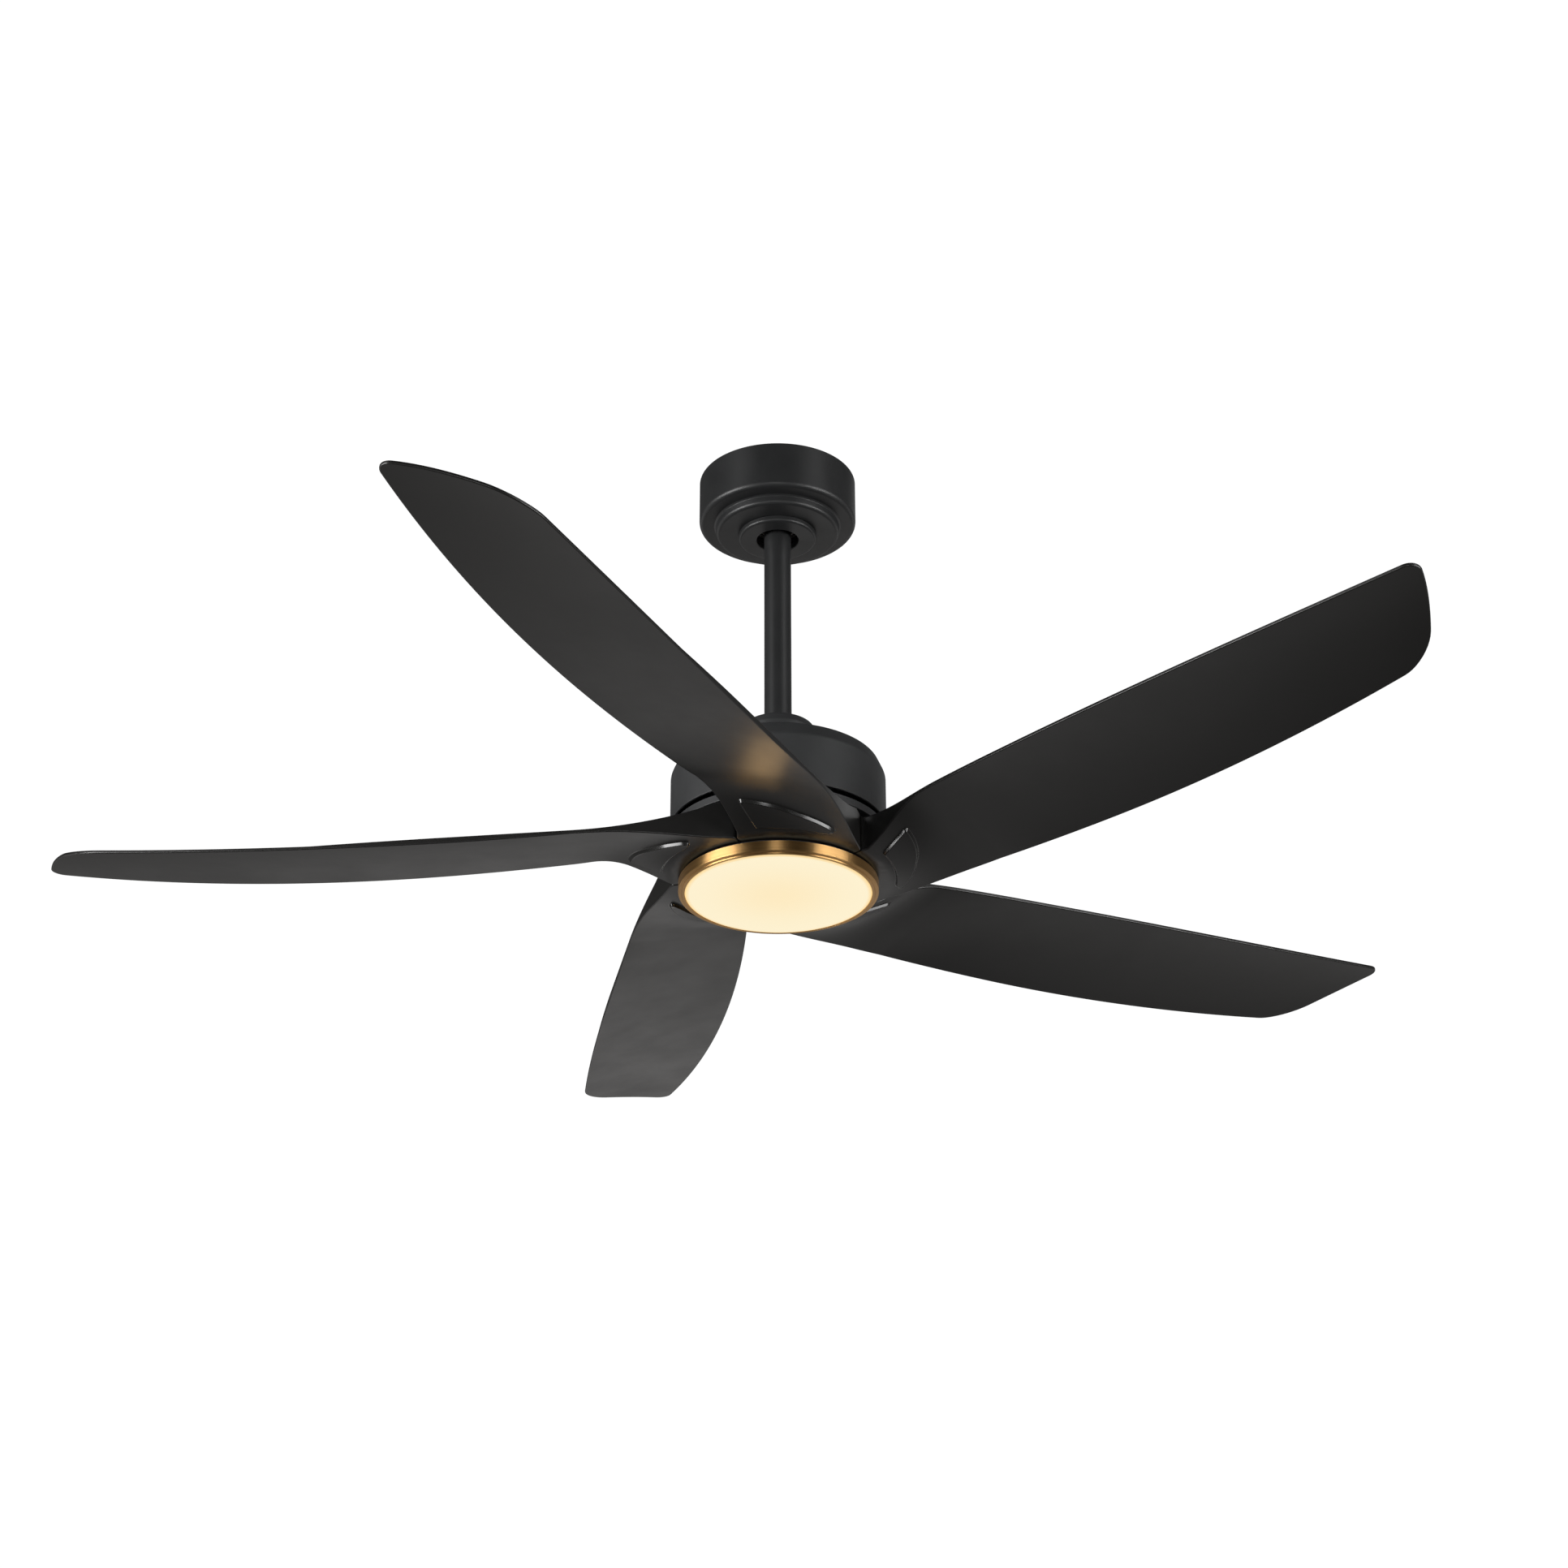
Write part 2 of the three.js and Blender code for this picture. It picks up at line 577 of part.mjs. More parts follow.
// A closed skin over the sections: lower side, upper side, both long edges and both ends.
function bladeSkin() {
  const sections = bladeSections();
  const across = sections[0].length;
  const loop = 2 * across;
  const positions = [];
  const index = [];
  for (const section of sections) {
    for (const [r, w, low] of section) positions.push(r, -w, low);
    for (const [r, w, , high] of [...section].reverse()) positions.push(r, -w, high);
  }
  const quad = (a, b, c, d) => index.push(a, c, b, a, d, c);
  for (let s = 0; s + 1 < sections.length; s += 1) {
    for (let k = 0; k < loop; k += 1) {
      const next = (k + 1) % loop;
      quad(s * loop + k, s * loop + next, (s + 1) * loop + next, (s + 1) * loop + k);
    }
  }
  const cap = (base, flip) => {
    for (let k = 0; k + 1 < across; k += 1) {
      const corners = [base + k, base + k + 1, base + loop - 2 - k, base + loop - 1 - k];
      quad(...(flip ? corners.reverse() : corners));
    }
  };
  cap(0, true);
  cap((sections.length - 1) * loop, false);
  const geometry = new THREE.BufferGeometry();
  geometry.setAttribute("position", new THREE.Float32BufferAttribute(positions, 3));
  geometry.setIndex(index);
  return geometry;
}

// The raised kidney-shaped pad under the root: its inner side is an arc about the fan's axis.
function padBlock() {
  const outline = new THREE.Shape();
  outline.moveTo(130, -1.5);
  outline.lineTo(102.5, 9);
  outline.absarc(0, 0, PAD.inner, Math.atan2(9, 102.5), Math.atan2(69, 80), false);
  outline.lineTo(84, 71.5);
  outline.quadraticCurveTo(126, 46, 131, 3);
  outline.closePath();
  return new THREE.ExtrudeGeometry(outline, { depth: 14, bevelEnabled: false, curveSegments: 4 });
}

function bladeGeometry() {
  const skin = solid(bladeSkin());
  const low = solid(bladeSkin().translate(0, 0, -PAD.drop));
  const pad = low.intersect(solid(padBlock().translate(0, 0, -412))).add(skin);
  const lightSpace = solid(bore(ROOT.lightBore, ROOT.bottom - 5, ROOT.top - ROOT.plate, FINE));
  let shape = pad.subtract(lightSpace);
  for (const side of [-1, 1]) {
    const [x, y] = polar(BLADE_SCREW.radius, BLADE_LEAD + side * BLADE_SCREW.spread);
    const hole = bore(BLADE_SCREW.hole, ROOT.bottom, ROOT.top + 5, 6).translate(x, y, 0);
    shape = shape.subtract(solid(hole));
  }
  return geometryOf(shape);
}

const bladeShape = bladeGeometry();
for (let blade = 0; blade < BLADES; blade += 1) {
  const turn = FIRST_ROOT - BLADE_LEAD + (360 / BLADES) * blade;
  const mesh = add(`blade_${blade + 1}`, bladeShape, "blackPlastic");
  mesh.rotation.z = THREE.MathUtils.degToRad(turn);
}
screwSpots.forEach(([x, y], i) => {
  const headTop = ROOT.top - ROOT.plate - GAP;
  add(`blade_screw_${i + 1}`, screw(x, y, headTop, 15, 2, 4.2, 2.6), "zinc");
});

// ---- Light ----

const lightPlate = -391;
const posts = [30, 150, 270].map((angle) => polar(POST_RADIUS, angle));
const plateShape = tube(SHAFT.radius + GAP, 45, lightPlate - 2, lightPlate, 20);
const postShapes = posts.map(([x, y]) => bar(4, PAN.top + GAP, lightPlate - 1, 8).translate(x, y, 0));
const postHoles = posts.map(([x, y]) => bore(2, PAN.top, PAN.top + 10, 6).translate(x, y, 0));
add("light_bracket", carved(plateShape, postShapes, postHoles), "zinc");
const nut = bar(13, SHAFT.bottom + 0.5, lightPlate - 2 - GAP, 6);
const nutThread = bore(SHAFT.radius + GAP, SHAFT.bottom, lightPlate, 16);
add("shaft_nut", carved(nut, [], [nutThread]), "steel");

const panFloor = RING.top + GAP;
const panShape = turned([
  [0, PAN.top - PAN.sheet],
  [PAN.radius - PAN.sheet, PAN.top - PAN.sheet],
  [PAN.radius - PAN.sheet, panFloor],
  [PAN.flange, panFloor],
  [PAN.flange, panFloor + PAN.sheet],
  [PAN.radius, panFloor + PAN.sheet],
  [PAN.radius, PAN.top],
  [0, PAN.top],
]);
const panHoles = posts.map(([x, y]) => bore(2, PAN.top - 5, PAN.top + 5, 6).translate(x, y, 0));
const wireHole = bore(5, PAN.top - 5, PAN.top + 5, 8).translate(0, -30, 0);
add("light_pan", carved(panShape, [], [...panHoles, wireHole]), "blackPaint");
posts.forEach(([x, y], i) => {
  add(`pan_screw_${i + 1}`, screw(x, y, PAN.top - PAN.sheet - GAP, 8, 1.7, 3.4, 2), "zinc");
});
const boardTop = PAN.top - PAN.sheet - 3;
add("led_board", tube(8, 72, boardTop - 1.6, boardTop, 28), "aluminium");
add("led_driver", block(50, 18, PAN.top + GAP, -395.5, 0, 57), "nylon");

add(
  "brass_ring",
  turned([
    [RING.mouth, RING.bottom],
    [RING.radius - 0.5, RING.bottom],
    [RING.radius, RING.bottom + 0.5],
    [RING.radius, RING.top],
    [RING.radius - RING.wall, RING.top],
    [RING.radius - RING.wall, RING.bottom + 1.3],
    [RING.mouth, RING.bottom + 1.3],
  ], 40),
  "brass",
);
const lip = RING.bottom + 1.3 + GAP;
const lensOut = RING.mouth - GAP;
add(
  "diffuser",
  turned([
    [0, LENS_FACE],
    [lensOut - 1, LENS_FACE],
    [lensOut, LENS_FACE + 0.8],
    [lensOut, lip],
    [RING.radius - RING.wall - GAP, lip],
    [RING.radius - RING.wall - GAP, lip + 1.5],
    [lensOut - 2, lip + 1.5],
    [lensOut - 2, LENS_FACE + 2],
    [0, LENS_FACE + 2],
  ], 40),
  "opal",
);

export default fan;
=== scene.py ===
"""Looks of the five-blade ceiling fan with an LED light: fine surfaces, finishes, camera and studio light."""

import math

import bpy
import numpy as np
from mathutils import Matrix, Vector
from mathutils.geometry import delaunay_2d_cdt


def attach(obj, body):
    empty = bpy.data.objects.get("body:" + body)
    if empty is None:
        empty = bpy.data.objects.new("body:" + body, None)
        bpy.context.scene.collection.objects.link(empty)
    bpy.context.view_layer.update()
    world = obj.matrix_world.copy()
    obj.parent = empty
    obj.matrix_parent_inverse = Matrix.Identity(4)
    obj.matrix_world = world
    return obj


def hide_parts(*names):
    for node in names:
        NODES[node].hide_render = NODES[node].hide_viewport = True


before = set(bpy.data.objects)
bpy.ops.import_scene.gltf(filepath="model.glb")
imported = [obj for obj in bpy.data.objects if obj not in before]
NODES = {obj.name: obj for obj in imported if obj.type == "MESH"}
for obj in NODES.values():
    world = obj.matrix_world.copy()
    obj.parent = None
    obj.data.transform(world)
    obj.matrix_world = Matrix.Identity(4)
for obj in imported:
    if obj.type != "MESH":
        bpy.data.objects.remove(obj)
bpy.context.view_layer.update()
MM = 0.001

# ---------------------------------------------------------------- camera, light and floor

# solved from the photo, in metres and degrees
CAMERA_PLACE = (0.0, -2.516, -1.583)
CAMERA_LENS_MM, CAMERA_SENSOR_MM = 72.43, 36.0
CAMERA_PITCH, CAMERA_ROLL = 116.74, -0.15
CAMERA_SHIFT_X, CAMERA_SHIFT_Y = 0.0037, 0.0007
CAMERA_REACH = 60.0
FLOOR_Z, FLOOR_R, FLOOR_SIDES = -3.2, 9.0, 96
FLOOR_GLOW = 0.72
# how bright the camera sees the backdrop, and the dim room that the fan sees beside the cove
BACKDROP, ROOM = 1.05, 0.05
ROOM_COLOUR = (1.0, 0.98, 0.965, 1.0)
# brightness of the cove against the direction's height, depth and side, each from -1 to 1 scaled to 0 to 1
COVE_BY_HEIGHT = [(0.0, 0.04), (0.06, 0.09), (0.12, 0.31), (0.17, 0.50), (0.26, 0.38), (0.35, 0.72),
                  (0.40, 0.90), (0.47, 0.26), (0.54, 0.10), (0.64, 0.03), (1.0, 0.0)]
COVE_BY_DEPTH = [(0.0, 0.18), (0.4, 0.25), (0.75, 0.7), (0.95, 1.0), (1.0, 1.0)]
COVE_BY_SIDE = [(0.0, 1.0), (0.2, 1.0), (0.30, 0.5), (0.36, 0.44), (0.42, 0.60), (0.47, 0.95), (0.54, 1.0),
                (0.60, 0.85), (0.66, 0.48), (0.72, 0.55), (0.8, 1.0), (1.0, 1.0)]
MIDDLE = (0.0, 0.0, -0.35)
SPILL_SPREAD = 34


def make_camera():
    """Looks up at the fan from in front of it and below."""
    data = bpy.data.cameras.new("camera")
    data.sensor_width = CAMERA_SENSOR_MM
    data.lens = CAMERA_LENS_MM
    data.shift_x = CAMERA_SHIFT_X
    data.shift_y = CAMERA_SHIFT_Y
    data.clip_end = CAMERA_REACH
    camera = bpy.data.objects.new("camera", data)
    pitch = Matrix.Rotation(math.radians(CAMERA_PITCH), 4, "X")
    roll = Matrix.Rotation(math.radians(CAMERA_ROLL), 4, "Z")
    camera.matrix_world = Matrix.Translation(CAMERA_PLACE) @ (pitch @ roll)
    bpy.context.scene.collection.objects.link(camera)
    bpy.context.scene.camera = camera


def area_light(name, place, target, size, power, colour=(1.0, 1.0, 1.0)):
    """A soft rectangular lamp that the camera doesn't see. size in metres, power in watts."""
    data = bpy.data.lights.new(name, "AREA")
    data.shape = "RECTANGLE"
    data.size, data.size_y = size
    data.energy = power
    data.color = colour
    lamp = bpy.data.objects.new(name, data)
    lamp.location = place
    lamp.rotation_euler = (Vector(target) - Vector(place)).to_track_quat("-Z", "Y").to_euler()
    lamp.visible_camera = False
    bpy.context.scene.collection.objects.link(lamp)
    return lamp


def make_world():
    """A white studio backdrop. The object itself is lit by a dim room with a bright cove low behind it."""
    world = bpy.data.worlds.new("studio")
    bpy.context.scene.world = world
    world.use_nodes = True
    nodes, links = world.node_tree.nodes, world.node_tree.links
    nodes.clear()

    def curve_of(value, stops):
        """A smooth curve through the stops, read at a value from -1 to 1."""
        node = nodes.new("ShaderNodeFloatCurve")
        curve = node.mapping.curves[0]
        while len(curve.points) < len(stops):
            curve.points.new(0.5, 0.5)
        for point, stop in zip(curve.points, stops):
            point.location = stop
            point.handle_type = "AUTO_CLAMPED"
        node.mapping.update()
        scaled = nodes.new("ShaderNodeMapRange")
        scaled.inputs["From Min"].default_value = -1.0
        links.new(value, scaled.inputs["Value"])
        links.new(scaled.outputs["Result"], node.inputs["Value"])
        return node.outputs[0]

    def product(first, second):
        node = nodes.new("ShaderNodeMath")
        node.operation = "MULTIPLY"
        links.new(first, node.inputs[0])
        links.new(second, node.inputs[1])
        return node.outputs[0]

    split = nodes.new("ShaderNodeSeparateXYZ")
    links.new(nodes.new("ShaderNodeTexCoord").outputs["Generated"], split.inputs[0])
    height = curve_of(split.outputs["Z"], COVE_BY_HEIGHT)
    depth = curve_of(split.outputs["Y"], COVE_BY_DEPTH)
    side = curve_of(split.outputs["X"], COVE_BY_SIDE)
    level = nodes.new("ShaderNodeMath")
    level.operation = "ADD"
    links.new(product(product(height, depth), side), level.inputs[0])
    level.inputs[1].default_value = ROOM
    soft = nodes.new("ShaderNodeBackground")
    soft.inputs["Color"].default_value = ROOM_COLOUR
    links.new(level.outputs[0], soft.inputs["Strength"])
    backdrop = nodes.new("ShaderNodeBackground")
    backdrop.inputs["Color"].default_value = (1.0, 1.0, 1.0, 1.0)
    backdrop.inputs["Strength"].default_value = BACKDROP
    mix = nodes.new("ShaderNodeMixShader")
    links.new(nodes.new("ShaderNodeLightPath").outputs["Is Camera Ray"], mix.inputs["Fac"])
    links.new(soft.outputs[0], mix.inputs[1])
    links.new(backdrop.outputs[0], mix.inputs[2])
    links.new(mix.outputs[0], nodes.new("ShaderNodeOutputWorld").inputs["Surface"])


def make_floor():
    """A pale disc far below the fan, which the fan's own surfaces don't reflect."""
    turns = [2 * math.pi * s / FLOOR_SIDES for s in range(FLOOR_SIDES)]
    verts = [(FLOOR_R * math.cos(t), FLOOR_R * math.sin(t), FLOOR_Z) for t in turns]
    mesh = bpy.data.meshes.new("floor")
    mesh.from_pydata(verts, [], [tuple(range(FLOOR_SIDES))])
    floor = bpy.data.objects.new("floor", mesh)
    bpy.context.scene.collection.objects.link(floor)
    surface = bpy.data.materials.new("floor")
    surface.use_nodes = True
    shader = surface.node_tree.nodes["Principled BSDF"]
    shader.inputs["Base Color"].default_value = (0.8, 0.8, 0.79, 1.0)
    shader.inputs["Roughness"].default_value = 0.8
    shader.inputs["Emission Color"].default_value = (1.0, 1.0, 0.99, 1.0)
    shader.inputs["Emission Strength"].default_value = FLOOR_GLOW
    mesh.materials.append(surface)
    floor.visible_glossy = False
    floor.visible_diffuse = False


bpy.context.scene.view_settings.view_transform = "Standard"
make_camera()
make_world()
make_floor()
area_light("softbox_front_left", (-2.61, -1.16, -0.72), MIDDLE, (1.9, 1.1), 95)
area_light("softbox_front_right", (2.48, -1.43, -0.72), MIDDLE, (1.9, 1.1), 66)
area_light("softbox_front", (-0.17, -3.2, -0.80), MIDDLE, (0.5, 1.0), 11)
area_light("fill_left", (-2.31, -1.68, 1.05), MIDDLE, (1.2, 1.2), 7)
area_light("fill_right", (2.31, -1.68, 1.05), MIDDLE, (1.2, 1.2), 9)
area_light("softbox_back_left", (-1.5, 2.6, 1.1), MIDDLE, (1.2, 1.4), 5).visible_glossy = False
area_light("softbox_back_right", (1.5, 2.6, 1.1), MIDDLE, (1.2, 1.4), 2)
area_light("softbox_top", (0.0, 0.8, 1.6), MIDDLE, (2.4, 2.0), 14).visible_glossy = False
# the lit lens and its brass ring as one blade's underside mirrors them
spill = area_light("lens_spill", (-0.031, -0.092, -0.431), (-0.011, -0.206, -0.397), (0.03, 0.008), 0.00034,
                   (1.0, 0.62, 0.26))
spill.data.spread = math.radians(SPILL_SPREAD)

# ---------------------------------------------------------------- materials


# the range that most of a noise's values lie in
NOISE_LOW, NOISE_HIGH = 0.3, 0.7


class Finish:
    """A material's node tree, read from the piece's own coordinates."""

    def __init__(self, name, colour, roughness, metallic=0.0):
        self.material = bpy.data.materials.new(name)
        self.material.use_nodes = True
        self.nodes = self.material.node_tree.nodes
        self.links = self.material.node_tree.links
        self.shader = self.nodes["Principled BSDF"]
        self.set("Base Color", (*colour, 1.0))
        self.set("Roughness", roughness)
        self.set("Metallic", metallic)
        self.place = self.nodes.new("ShaderNodeTexCoord").outputs["Object"]

    def set(self, socket, value):
        self.shader.inputs[socket].default_value = value

    def noise(self, scale, detail=3.0, rough=0.55, where=None):
        node = self.nodes.new("ShaderNodeTexNoise")
        node.inputs["Scale"].default_value = scale
        node.inputs["Detail"].default_value = detail
        node.inputs["Roughness"].default_value = rough
        self.links.new(where or self.place, node.inputs["Vector"])
        return node.outputs["Fac"]

    def spread(self, value, low, high):
        """A noise's middle range stretched over low to high."""
        node = self.nodes.new("ShaderNodeMapRange")
        node.inputs["From Min"].default_value = NOISE_LOW
        node.inputs["From Max"].default_value = NOISE_HIGH
        node.inputs["To Min"].default_value = low
        node.inputs["To Max"].default_value = high
        self.links.new(value, node.inputs["Value"])
        return node.outputs["Result"]

    def tint(self, value, first, second, start=NOISE_LOW, end=NOISE_HIGH):
        """One colour blending into another as the value goes from start to end."""
        node = self.nodes.new("ShaderNodeValToRGB")
        node.color_ramp.elements[0].position = start
        node.color_ramp.elements[0].color = (*first, 1.0)
        node.color_ramp.elements[1].position = end
        node.color_ramp.elements[1].color = (*second, 1.0)
        self.links.new(value, node.inputs["Fac"])
        return node.outputs["Color"]

    def bump(self, height, strength, depth):
        node = self.nodes.new("ShaderNodeBump")
        node.inputs["Strength"].default_value = strength
        node.inputs["Distance"].default_value = depth
        self.links.new(height, node.inputs["Height"])
        self.drive("Normal", node.outputs["Normal"])

    def drive(self, socket, value):
        self.links.new(value, self.shader.inputs[socket])

    def math(self, operation, first, second=None):
        """A maths node; second may be a number."""
        node = self.nodes.new("ShaderNodeMath")
        node.operation = operation
        for socket, value in zip(node.inputs, (first, second)):
            if value is None:
                continue
            if isinstance(value, (int, float)):
                socket.default_value = value
            else:
                self.links.new(value, socket)
        return node.outputs[0]

    def round_axis(self):
        """Distance from the fan's axis, angle about it and height, as three outputs."""
        split = self.nodes.new("ShaderNodeSeparateXYZ")
        self.links.new(self.place, split.inputs[0])
        x, y, z = split.outputs
        squares = self.math("ADD", self.math("MULTIPLY", x, x), self.math("MULTIPLY", y, y))
        radius = self.math("SQRT", squares)
        return radius, self.math("ARCTAN2", y, x), z

    def joined(self, x, y, z):
        node = self.nodes.new("ShaderNodeCombineXYZ")
        for socket, value in zip(node.inputs, (x, y, z)):
            self.links.new(value, socket)
        return node.outputs[0]


def black_paint(name, shade, rough):
    """Satin black powder coat: fine orange peel, faint bloom where it was handled."""
    f = Finish(name, (shade, shade, shade), 0.6)
    f.drive("Base Color", f.tint(f.noise(26, 4), (shade, shade * 1.04, shade * 1.08),
                                 (shade * 1.24, shade * 1.28, shade * 1.32)))
    f.set("Specular IOR Level", 0.42)
    f.drive("Roughness", f.spread(f.noise(60, 5, 0.6), rough - 0.03, rough + 0.03))
    f.bump(f.noise(900, 2), 0.12, 0.00008)
    return f.material


def blade_plastic(name, low, high, grain):
    """Moulded black plastic: very fine texture, slow flow marks."""
    f = Finish(name, (0.008, 0.0078, 0.0075), 0.4)
    f.drive("Base Color", f.tint(f.noise(9, 4), (0.0072, 0.0070, 0.0066), (0.0092, 0.0088, 0.0084)))
    f.drive("Roughness", f.spread(f.noise(14, 5, 0.6), low, high))
    f.bump(f.noise(1500, 2), grain, 0.00006)
    return f.material


def brushed_brass():
    """Brass turned on a lathe: fine lines run round the axis."""
    f = Finish("brass", (0.55, 0.36, 0.15), 0.3, 1.0)
    radius, angle, z = f.round_axis()
    across, along = 9000.0, 2.0
    around = f.joined(f.math("MULTIPLY", radius, across), f.math("MULTIPLY", angle, along),
                      f.math("MULTIPLY", z, across))
    lines = f.noise(1.0, 2, 0.5, around)
    wide = f.noise(0.12, 2, 0.5, around)
    f.drive("Base Color", f.tint(wide, (0.50, 0.285, 0.105), (0.60, 0.36, 0.14)))
    f.drive("Roughness", f.spread(lines, 0.34, 0.42))
    f.set("Anisotropic", 0.95)
    f.set("Anisotropic Rotation", 0.25)
    f.bump(lines, 0.10, 0.00003)
    tangent = f.nodes.new("ShaderNodeTangent")
    tangent.direction_type = "RADIAL"
    tangent.axis = "Z"
    f.drive("Tangent", tangent.outputs[0])
    return f.material


# where the lens is palest, and where its warm rim begins, in metres from the axis
GLOW_R, WARM_RIM_R = 0.0785, 0.0812


def opal():
    """Lit opal plastic: a little warmer in the middle, and a narrow warm rim where it meets the brass."""
    f = Finish("opal", (0.12, 0.11, 0.10), 0.45)
    radius, _, _ = f.round_axis()
    glow = f.tint(radius, (1.0, 0.83, 0.514), (1.0, 0.888, 0.617), 0.0, GLOW_R)
    ramp = f.nodes["Color Ramp"].color_ramp
    ramp.interpolation = "EASE"
    ramp.elements.new(WARM_RIM_R).color = (1.0, 0.70, 0.28, 1.0)
    f.drive("Emission Color", glow)
    f.set("Emission Strength", 0.90)
    f.bump(f.noise(700, 2), 0.04, 0.00005)
    return f.material


def metal(name, colour, rough):
    """Bare or plated metal, mottled and finely pitted."""
    f = Finish(name, colour, rough, 1.0)
    darker = tuple(c * 0.82 for c in colour)
    f.drive("Base Color", f.tint(f.noise(120, 4), darker, colour))
    f.drive("Roughness", f.spread(f.noise(220, 4), rough - 0.06, rough + 0.06))
    f.bump(f.noise(500, 3), 0.12, 0.00006)
    return f.material


def plastic(name, colour, rough, metallic=0.0):
    """Moulded plastic, rubber or ferrite with a fine grain."""
    f = Finish(name, colour, rough, metallic)
    darker = tuple(c * 0.85 for c in colour)
    f.drive("Base Color", f.tint(f.noise(70, 3), darker, colour))
    f.drive("Roughness", f.spread(f.noise(150, 4), rough - 0.06, rough + 0.06))
    f.bump(f.noise(800, 2), 0.12, 0.00008)
    return f.material


def copper_winding():
    """Lacquered copper wire wound round the stator: ridges a wire apart."""
    f = Finish("copper", (0.62, 0.25, 0.09), 0.3, 0.9)
    radius, _, z = f.round_axis()
    wires = 6000.0
    ridges = f.math("SINE", f.math("MULTIPLY", f.math("ADD", radius, z), wires))
    f.drive("Base Color", f.tint(f.noise(90, 3), (0.45, 0.17, 0.06), (0.66, 0.28, 0.11)))
    f.bump(ridges, 0.5, 0.0003)
    return f.material


PAINT = black_paint("black_paint", 0.0125, 0.42)
CAST_PAINT = black_paint("black_paint_cast", 0.023, 0.52)
BLADE_FACE = blade_plastic("blade_face", 0.34, 0.42, 0.10)
BLADE_WALL = blade_plastic("blade_wall", 0.28, 0.34, 0.04)
PAD_WALL = blade_plastic("pad_wall", 0.16, 0.22, 0.02)
BRASS = brushed_brass()
OPAL = opal()
STEEL = metal("steel", (0.50, 0.50, 0.51), 0.34)
ZINC = metal("zinc", (0.62, 0.63, 0.64), 0.32)
ALUMINIUM = metal("aluminium", (0.72, 0.73, 0.74), 0.42)
MAGNET = plastic("magnet", (0.045, 0.046, 0.05), 0.55, 0.3)
NYLON = plastic("nylon", (0.74, 0.72, 0.66), 0.45)
RUBBER = plastic("black_plastic", (0.018, 0.018, 0.018), 0.6)
COPPER = copper_winding()

# CAD nodes that keep their own mesh and only take a finish
CARRIED = [
    (ZINC, ["hanger_bracket", "canopy_screw_1", "canopy_screw_2", "cotter_pin", "yoke_set_screw_1",
            "yoke_set_screw_2", "housing_screw_1", "housing_screw_2", "housing_screw_3", "light_bracket",
            "pan_screw_1", "pan_screw_2", "pan_screw_3"] + [f"blade_screw_{k}" for k in range(1, 11)]),
    (STEEL, ["hanger_ball_pin", "clevis_pin", "hollow_shaft", "stator_core", "shaft_nut", "bearing_upper",
             "bearing_lower"]),
    (NYLON, ["terminal_block", "ball_liner", "led_driver"]),
    (RUBBER, ["receiver_box", "supply_cable"]),
    (COPPER, ["stator_winding_upper", "stator_winding_lower"]),
    (ALUMINIUM, ["rotor_shell", "led_board"]),
    (MAGNET, ["magnet_ring"]),
]
for finish, names in CARRIED:
    for node_name in names:
        slots = NODES[node_name].data.materials
        slots.clear()
        slots.append(finish)

# ---------------------------------------------------------------- mesh building


def new_piece(name, verts, faces, body, materials, normals=None, loops=None, which=None):
    """A smooth-shaded piece riding on a body. verts in mm. normals go by vertex, loops by face corner."""
    mesh = bpy.data.meshes.new(name)
    mesh.from_pydata([Vector(v) * MM for v in verts], [], faces)
    for material in materials:
        mesh.materials.append(material)
    if which is not None:
        mesh.polygons.foreach_set("material_index", np.asarray(which, dtype=np.int32))
    mesh.polygons.foreach_set("use_smooth", [True] * len(faces))
    mesh.update()
    if loops is not None:
        mesh.normals_split_custom_set(loops)
    elif normals is not None:
        mesh.normals_split_custom_set_from_vertices(normals)
    piece = bpy.data.objects.new(name, mesh)
    bpy.context.scene.collection.objects.link(piece)
    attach(piece, body)
    return piece


ARC_STEPS = 6
# a corner with half its angle above this is as good as straight
STRAIGHT = math.radians(89.5)


def half_angle(before, after):
    """Half the angle between two unit directions that leave a corner."""
    return math.acos(max(-1.0, min(1.0, float(before @ after)))) / 2


def rounded(corners):
    """Corners (r, z, rounding) of a closed outline as points (r, z, normal before, normal after)."""
    area = sum(a[0] * b[1] - b[0] * a[1] for a, b in zip(corners, corners[1:] + corners[:1]))
    if area < 0:
        corners = corners[::-1]
    count = len(corners)
    points = []
    for k in range(count):
        here = np.array(corners[k][:2], float)
        before = np.array(corners[k - 1][:2], float) - here
        after = np.array(corners[(k + 1) % count][:2], float) - here
        before /= np.linalg.norm(before)
        after /= np.linalg.norm(after)
        n_in = np.array([-before[1], before[0]])
        n_out = np.array([after[1], -after[0]])
        radius = corners[k][2] if len(corners[k]) > 2 else 0.0
        half = half_angle(before, after)
        if radius <= 0 or half > STRAIGHT:
            points.append((here[0], here[1], n_in, n_out))
            continue
        reach = radius / math.tan(half)
        middle = before + after
        centre = here + middle / np.linalg.norm(middle) * (radius / math.sin(half))
        start, end = here + before * reach, here + after * reach
        a0 = math.atan2(*(start - centre)[::-1])
        a1 = math.atan2(*(end - centre)[::-1])
        sweep = (a1 - a0 + math.pi) % (2 * math.pi) - math.pi
        outward = 1.0 if float(n_in @ (start - centre)) > 0 else -1.0
        for step in range(ARC_STEPS + 1):
            angle = a0 + sweep * step / ARC_STEPS
            direction = np.array([math.cos(angle), math.sin(angle)])
            point = centre + radius * direction
            points.append((point[0], point[1], direction * outward, direction * outward))
    return points


